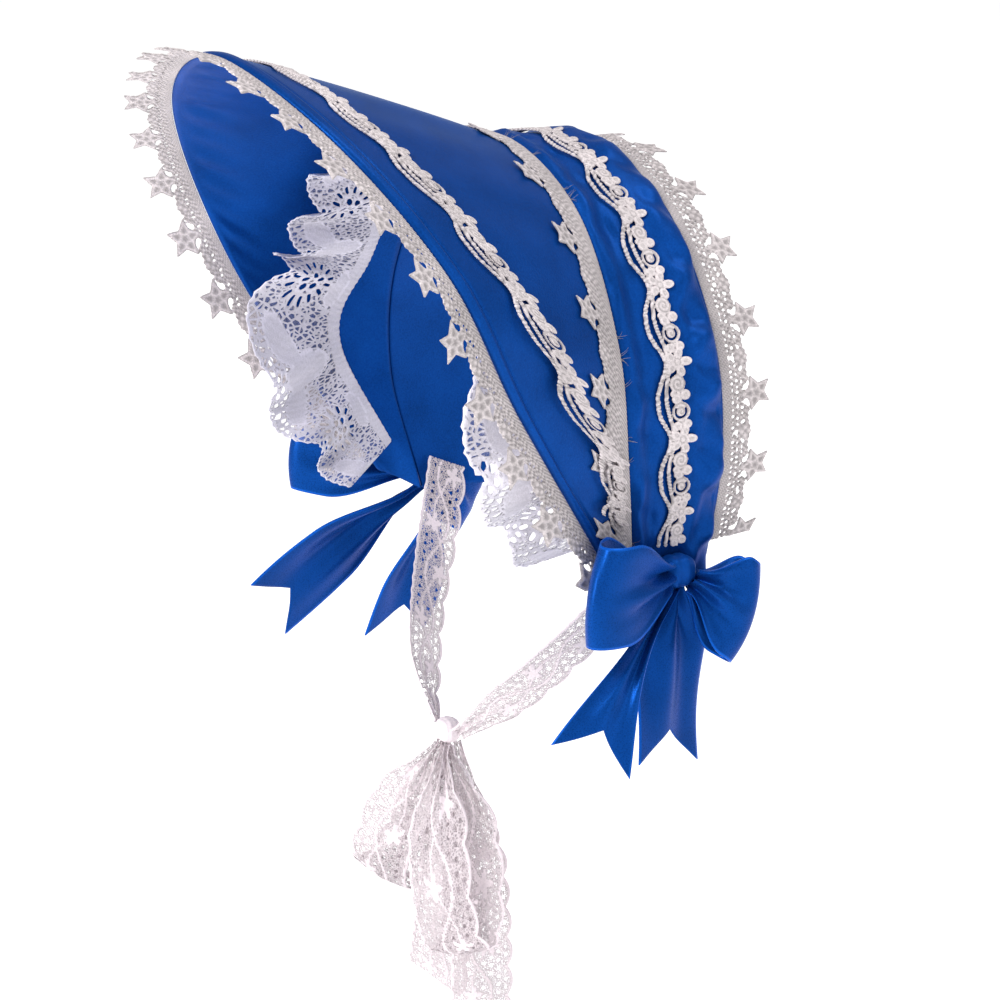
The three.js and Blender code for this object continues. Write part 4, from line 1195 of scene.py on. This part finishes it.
def loop_surface(start, end, face, width, pinch, fullness, lean, creases, opens_by=0.75, spread=0.0):
    """A ribbon loop: u goes out along the front leaf and back along the other, v across the ribbon.
    The leaves bulge apart by a sine, creases fan out from the knot and fade towards the far end, and
    the far end is bowed, with its corners set back by the square of their place across. Spread moves the
    leaves apart sideways as well."""
    reach = end - start
    length = np.linalg.norm(reach)
    ahead = reach / length
    side = unit(face - ahead * (face @ ahead))
    upright = unit(np.cross(side, ahead))
    if upright[2] < 0:
        upright = -upright

    def profile(u):
        share = (1 - np.cos(2 * PI * u)) / 2
        return share, 1.2 * np.cos(PI * u) + fullness * np.sin(2 * PI * u) * share**0.35

    def surface(u, v, lift):
        across = 2 * v - 1
        share, leaf = profile(u)
        before, after = profile(u - 0.002), profile(u + 0.002)
        half = mix(pinch, width, smooth(share, 0, opens_by)) / 2
        fan = (1 - share) ** 1.3 * smooth(share, -0.1, 0.12)
        crease = creases * fan * (0.7 * np.cos(7 * across + 1.2) + 0.5 * np.cos(12.5 * across + 4 * u))
        crease = crease + (1 - share) ** 2 * 0.25 * pinch * np.cos(2.5 * PI * across)
        soft = 0.5 * np.sin(2.2 * across + 5 * share) * share * np.sin(PI * np.clip(share, 0, 1))
        away_side = length * (after[0] - before[0])
        away_ahead = before[1] - after[1]
        flat = 1 - smooth(share, 0.5, 1)
        size = np.maximum(np.hypot(away_side, away_ahead), TINY)
        turn_side = mix(away_side / size, np.where(u < 0.5, 1.0, -1.0), flat)
        turn_ahead = mix(away_ahead / size, 0, flat)
        size = np.hypot(turn_side, turn_ahead)
        corners = 0.1 * width * share * across**2
        along = length * share - corners + lean * across * half * share + lift * turn_ahead / size
        out = leaf + crease + soft + lift * turn_side / size
        beside = across * half + spread * np.sin(2 * PI * u) * share**0.35
        return start + side * out[..., None] + ahead * along[..., None] + upright * beside[..., None]

    return surface, length


def tail_surface(start, bend, end, face, opening, foot, curl):
    """A hanging ribbon end on a quadratic curve, pinched at the knot, with folds that fade downwards
    and a foot(across) cut from its end."""
    pinch, width, opens_from, opens_by = opening
    table = np.linspace(0, 1, 201)[:, None]
    path = (1 - table) ** 2 * start + 2 * table * (1 - table) * bend + table**2 * end
    length, on_path = path_of(path)

    def surface(u, v, lift):
        across = 2 * v - 1
        share = u * (1 - foot(across) / length * u)
        ahead = direction_on(on_path, share)
        side = unit(face - ahead * (ahead @ face)[..., None])
        upright = np.cross(side, ahead)
        half = mix(pinch, width, smooth(share, opens_from, opens_by)) / 2
        fold = (1 - share) * pinch * 0.22 * np.cos(2 * PI * across)
        fold = fold + curl * (1 - share) * smooth(share, 0, 0.2) * np.cos(5.5 * across + 1.5)
        fold = fold + curl * 0.8 * np.sin(PI * share) * np.sin(1.8 * across + 3 * share)
        return on_path(share) + upright * (across * half)[..., None] + side * (fold + lift)[..., None]

    return surface, length


def ribbon_piece(name, surface, length, wall, material, rows, columns, seat, mirror):
    """A closed satin ribbon from its surface, set at its knot and mirrored for the right side."""
    u, v = grid(rows, columns)
    flip = np.array([mirror, 1, 1])
    front = (surface(u, v, wall / 2) + seat) * flip
    back = (surface(u, v, -wall / 2) + seat) * flip
    return slab(name, front, back, material, np.stack([u * length, v * RIBBON_WIDTH], -1))


def knot_piece(name, sizes, seat, material, folds, mirror=1):
    """A wrapped knot: a rounded block whose skin is pressed into folds that run round it, squared by a
    power of its sphere's coordinates."""
    turns, rises = np.linspace(0, 2 * PI, 49)[:-1], np.linspace(-PI / 2, PI / 2, 33)[1:-1]
    turn, rise = np.meshgrid(turns, rises, indexing="ij")
    ball = stack(np.cos(rise) * np.cos(turn), np.sin(rise), np.cos(rise) * np.sin(turn))
    block = np.sign(ball) * np.abs(ball) ** 0.7 * np.array(sizes) / 2
    phase = folds * PI * block[..., 1:2] / sizes[1] * 2 + 0.6 * ball[..., :1]
    pressed = 1 - 0.055 * (0.5 + 0.5 * np.cos(phase))
    block = block * np.concatenate([pressed, np.ones_like(pressed), pressed], -1)
    poles = np.array([[0, -sizes[1] / 2, 0], [0, sizes[1] / 2, 0]])
    rows, columns = block.shape[:2]
    ids = np.arange(rows * columns).reshape(rows, columns)
    after = np.roll(ids, -1, axis=0)
    quads = np.stack([ids[:, :-1], after[:, :-1], after[:, 1:], ids[:, 1:]], -1).reshape(-1, 4)
    low = np.stack([np.full(rows, rows * columns), after[:, 0], ids[:, 0]], 1)
    high = np.stack([np.full(rows, rows * columns + 1), ids[:, -1], after[:, -1]], 1)
    points = (np.concatenate([block.reshape(-1, 3), poles]) + seat) * np.array([mirror, 1, 1])
    uv = points[:, 1:]
    return mesh_object(name, points, outward(points, [quads, low, high]), material, uv)


def notch(across):
    """How far a tail's end is cut away: nothing at its edges and most in the middle."""
    return NOTCH_DEPTH * (1 - np.abs(across))


def make_satin_bows():
    """The bows at the ears: a knot, two loops and two notched tails each, of the same ribbon."""
    satin = materials()["Ribbon satin"]
    wall = bpy.context.scene.bonnet_sizes.ribbon_wall / MM
    seat = bow_seat()
    sizes = np.array([11.0, 14.0, 12.0])
    skin = materials()["Royal satin"]
    sideways = np.array([1.0, 0, 0])
    for side, mirror in (("left", 1), ("right", -1)):
        knot = knot_piece(f"bow_{side}_knot_satin", 1.15 * sizes, seat, skin, 3, mirror)
        trim(knot, "satin", f"bow_{side}_knot")
        for name, (out, forward, up), value in BOW_ENDS[side]:
            end = np.array([out, -forward, up])
            if name.endswith("loop"):
                start = beside_knot(sizes, end, GAP / 2)
                surface, length = loop_surface(start, end, sideways, RIBBON_WIDTH, 11.0, 9.0, value, 3.0)
                cut = (RIBBON_WIDTH * MM, 2.1 * length * MM)
                rows, columns = 97, 33
                length = 2 * length
            else:
                start = np.array([value * 1.9, -value * 2.2, -5.4])
                turn, opens, shift = TAILS[f"{side}_{name}"]
                bend = (start + end) / 2 + np.array(shift)
                face = unit(np.array([1, -turn, 0]))
                opening = (5.5, RIBBON_WIDTH, *opens)
                surface, length = tail_surface(start, bend, end, face, opening, notch, 3.0)
                cut = (RIBBON_WIDTH * MM, length * MM)
                rows, columns = 65, 33
            label = f"bow_{side}_{name}"
            piece = ribbon_piece(f"{label}_satin", surface, length, wall, satin, rows, columns, seat, mirror)
            cloth(piece, [label], cut)


# The lace bow's ends, measured in the same way from the chin knot's middle, and where each leaves the
# knot: 1 in front of it, and below 0 behind it.
CHIN_ENDS = (
    ("chin_loop_left", (31, 13, -90), 1),
    ("chin_loop_right", (-40, 9.2, -80.4), 1),
    ("chin_tail_left", (13, -8, -134), -1.7),
    ("chin_tail_right", (-15.2, -2, -128.6), -0.6),
)
CHIN_PLACE = np.array([0, -49.0, -249.0])


def strap_surface():
    """Half of the tie: a cubic curve from inside the crown's lower end along the jaw to the chin knot,
    with the ribbon drawn together towards the knot."""
    top = crown_point(np.array(0.95), np.array(0.4), np.array(-4.0))
    chin = CHIN_PLACE + np.array([8.0, 0, 0])
    sizes = np.array([CROWN_HALF_WIDTH, 49.0, chin[2] - top[2]])
    ear = np.array([-0.2, -0.35, 0.42]) * sizes + top
    jaw = np.array([0.38, 0.15, -0.28]) * sizes + chin
    table = np.linspace(0, 1, 201)[:, None]
    path = (
        (1 - table) ** 3 * top
        + 3 * table * (1 - table) ** 2 * ear
        + 3 * table**2 * (1 - table) * jaw
        + table**3 * chin
    )
    length, on_path = path_of(path)

    def surface(u, v, lift):
        place = on_path(u)
        ahead = direction_on(on_path, u)
        out = stack(place[..., 0], place[..., 1] * u, -u * CROWN_HALF_WIDTH / 2)
        side = unit(out - ahead * (out * ahead).sum(-1, keepdims=True))
        upright = np.cross(side, ahead)
        half = mix(0.78 * TIE_WIDTH, 8, smooth(u, 0.72, 1)) / 2
        folds = 0.8 * smooth(u, 0.5, 1) * np.cos(9 * (2 * v - 1)) + 0.5 * np.sin(9 * u + 3 * v)
        return place + upright * ((2 * v - 1) * half)[..., None] + side * (folds + lift)[..., None]

    return surface, length


def lace_ribbon(name, surface, length, width, cell, seat, mirror):
    """A pierced lace ribbon carried by a ribbon's surface."""
    flip = np.array([mirror, 1, 1])

    def place(x, y, height):
        u = np.clip((x + length / 2) / length, 0, 1)
        v = np.clip(y / width, 0, 1)
        return (surface(u, v, height - 0.25) + seat) * flip

    thread = materials()["Tie thread"]
    return lace_object(
        name, tie_lace(width), length / 2, width, cell, place, 0.55, thread, tie_closed(width)
    )


def slanted(side):
    """The foot of a tie's tail, cut at a slant that is longest on one side."""

    def foot(across):
        return 0.2 * TIE_WIDTH * (1 + side * across)

    return foot


def make_lace_tie():
    """The tie: a strap from each ear, and the bow's knot, loops and tails under the chin."""
    surface, length = strap_surface()
    for side, mirror in (("left", 1), ("right", -1)):
        strap = lace_ribbon(f"tie_strap_{side}_lace", surface, length, STRAP_WIDTH, 0.75, np.zeros(3), mirror)
        cloth(strap, [f"tie_strap_{side}"], (STRAP_WIDTH * MM, length * MM))
    sizes = np.array([11.0, 9.0, 11.0])
    knot = knot_piece("chin_knot_lace", sizes, CHIN_PLACE, materials()["Tie cord"], 4)
    trim(knot, "tie", "chin_knot")
    face = unit(np.array([0.75, -1, 0]))
    for name, (across, forward, up), start in CHIN_ENDS:
        side = math.copysign(1, across)
        way = np.array([side * 13, -start * 10, -26.0])
        top = beside_knot(sizes, way, GAP)
        end = np.array([across, -forward, up], float)
        if "loop" in name:
            surface, length = loop_surface(
                top, end, face, TIE_WIDTH, 4.0, 7.0, 0.0, 1.2, opens_by=0.45, spread=-6.0 * side
            )
            length = 2 * length
        else:
            bend = mix(top, end, 0.4) + np.array([0, 10, 0])
            opening = (4.0, TIE_WIDTH, 0, 0.45)
            surface, length = tail_surface(top, bend, end, face, opening, slanted(side), 1.2)
        piece = lace_ribbon(f"{name}_lace", surface, length, TIE_WIDTH, 0.8, CHIN_PLACE, 1)
        cloth(piece, [name], (TIE_WIDTH * MM, length * MM))


# Camera, floor and lights

CAMERA_AT = (1.2170, -0.8358, 0.2992)
CAMERA_AIM = (0.0007, -0.0227, -0.1507)
CAMERA_LENS = 130.1
FLOOR_REACH = 60000.0
FLOOR_DROP = 2.0
# Name, place, size in metres, power in watts and colour.
LAMPS = (
    ("key", (0.45, -1.5, 1.25), 0.6, 27, (1, 0.985, 0.97)),
    ("fill", (1.6, 0.5, 0.5), 1.2, 5, (0.96, 0.98, 1)),
    ("top", (0.3, 0.5, 1.5), 1.0, 10, (1, 1, 1)),
    ("front", (-0.15, -1.7, 0.2), 0.45, 10, (1, 1, 1)),
)


def look_from(obj, place, aim):
    """Sets an object at a place and turns it so that its -Z axis points at the aim."""
    obj.location = place
    obj.rotation_euler = (Vector(aim) - Vector(place)).to_track_quat("-Z", "Y").to_euler()


def soft_light(name, place, size, power, colour):
    """A square lamp that points at the bonnet's middle."""
    data = bpy.data.lights.new(name, "AREA")
    data.size = size
    data.energy = power
    data.color = colour
    lamp = bpy.data.objects.new(name, data)
    bpy.context.scene.collection.objects.link(lamp)
    look_from(lamp, place, (0, -0.03, -0.08))


def make_stage():
    """The camera at the photograph's place, a pale floor below the tie's ends and soft studio lights."""
    data = bpy.data.cameras.new("Camera")
    data.lens = CAMERA_LENS
    data.clip_end = 120
    camera = bpy.data.objects.new("Camera", data)
    bpy.context.scene.collection.objects.link(camera)
    look_from(camera, CAMERA_AT, CAMERA_AIM)
    bpy.context.scene.camera = camera

    corners = FLOOR_REACH * np.array([[-1, -1], [1, -1], [1, 1], [-1, 1]])
    height = SOLIDS_BOX[0][2] / MM - FLOOR_DROP
    points = np.concatenate([corners, np.full((4, 1), height)], 1)
    paper = bpy.data.materials.new("Pale paper")
    paper.use_nodes = True
    shader = paper.node_tree.nodes["Principled BSDF"]
    shader.inputs["Base Color"].default_value = (0.9, 0.9, 0.9, 1)
    shader.inputs["Roughness"].default_value = 0.9
    shader.inputs["Emission Color"].default_value = (1, 1, 1, 1)
    shader.inputs["Emission Strength"].default_value = 0.6
    floor = mesh_object("floor", points, [np.array([[0, 1, 2, 3]])], paper)

    for lamp in LAMPS:
        soft_light(*lamp)

    world = bpy.data.worlds.new("Studio")
    bpy.context.scene.world = world
    world.use_nodes = True
    back = world.node_tree.nodes["Background"]
    back.inputs["Color"].default_value = (1, 1, 1, 1)
    back.inputs["Strength"].default_value = 0.38
    bpy.context.scene.view_settings.view_transform = "Standard"


# Operators and panel


class BONNET_OT_stage(bpy.types.Operator):
    """Make the camera, floor and lights"""

    bl_idname = "bonnet.stage"
    bl_label = "Stage"

    def execute(self, context):
        make_stage()
        return {"FINISHED"}


class BONNET_OT_crown(bpy.types.Operator):
    """Make the puffed satin crown band"""

    bl_idname = "bonnet.crown"
    bl_label = "Crown"

    def execute(self, context):
        make_crown()
        return {"FINISHED"}


class BONNET_OT_brim(bpy.types.Operator):
    """Make the satin brim with its rolled edge and lining"""

    bl_idname = "bonnet.brim"
    bl_label = "Brim"

    def execute(self, context):
        make_brim()
        return {"FINISHED"}


class BONNET_OT_star_laces(bpy.types.Operator):
    """Make the star laces on the edge, the seam and the rear"""

    bl_idname = "bonnet.star_laces"
    bl_label = "Star laces"

    def execute(self, context):
        make_star_laces()
        make_frayed_threads()
        return {"FINISHED"}


class BONNET_OT_flower_laces(bpy.types.Operator):
    """Make the flower laces on the brim and the crown"""

    bl_idname = "bonnet.flower_laces"
    bl_label = "Flower laces"

    def execute(self, context):
        make_flower_laces()
        return {"FINISHED"}


class BONNET_OT_frill(bpy.types.Operator):
    """Make the gathered lace frill inside the brim"""

    bl_idname = "bonnet.frill"
    bl_label = "Frill"

    def execute(self, context):
        make_frill()
        return {"FINISHED"}


class BONNET_OT_satin_bows(bpy.types.Operator):
    """Make the satin bows at the ears"""

    bl_idname = "bonnet.satin_bows"
    bl_label = "Satin bows"

    def execute(self, context):
        make_satin_bows()
        return {"FINISHED"}


class BONNET_OT_lace_tie(bpy.types.Operator):
    """Make the lace tie and its bow under the chin"""

    bl_idname = "bonnet.lace_tie"
    bl_label = "Lace tie"

    def execute(self, context):
        make_lace_tie()
        return {"FINISHED"}


OPERATORS = (
    BONNET_OT_stage,
    BONNET_OT_brim,
    BONNET_OT_crown,
    BONNET_OT_star_laces,
    BONNET_OT_flower_laces,
    BONNET_OT_frill,
    BONNET_OT_satin_bows,
    BONNET_OT_lace_tie,
)


class BONNET_PT_panel(bpy.types.Panel):
    """Lists the bonnet's pieces, sizes and colours"""

    bl_idname = "BONNET_PT_panel"
    bl_label = "Lolita bonnet"
    bl_space_type = "VIEW_3D"
    bl_region_type = "UI"
    bl_category = "Bonnet"

    def draw(self, context):
        for group in (context.scene.bonnet_sizes, context.scene.bonnet_colours):
            for name in group.bl_rna.properties.keys():
                if name not in ("rna_type", "name"):
                    self.layout.prop(group, name)
        for operator in OPERATORS:
            self.layout.operator(operator.bl_idname)


CLASSES = (BonnetSizes, BonnetColours, *OPERATORS, BONNET_PT_panel)


def register():
    for cls in CLASSES:
        bpy.utils.register_class(cls)
    bpy.types.Scene.bonnet_sizes = bpy.props.PointerProperty(type=BonnetSizes)
    bpy.types.Scene.bonnet_colours = bpy.props.PointerProperty(type=BonnetColours)


def unregister():
    del bpy.types.Scene.bonnet_colours
    del bpy.types.Scene.bonnet_sizes
    for cls in reversed(CLASSES):
        bpy.utils.unregister_class(cls)


def main():
    register()
    bpy.ops.bonnet.stage()
    bpy.ops.bonnet.brim()
    bpy.ops.bonnet.crown()
    bpy.ops.bonnet.star_laces()
    bpy.ops.bonnet.flower_laces()
    bpy.ops.bonnet.frill()
    bpy.ops.bonnet.satin_bows()
    bpy.ops.bonnet.lace_tie()


if __name__ == "__main__":
    main()
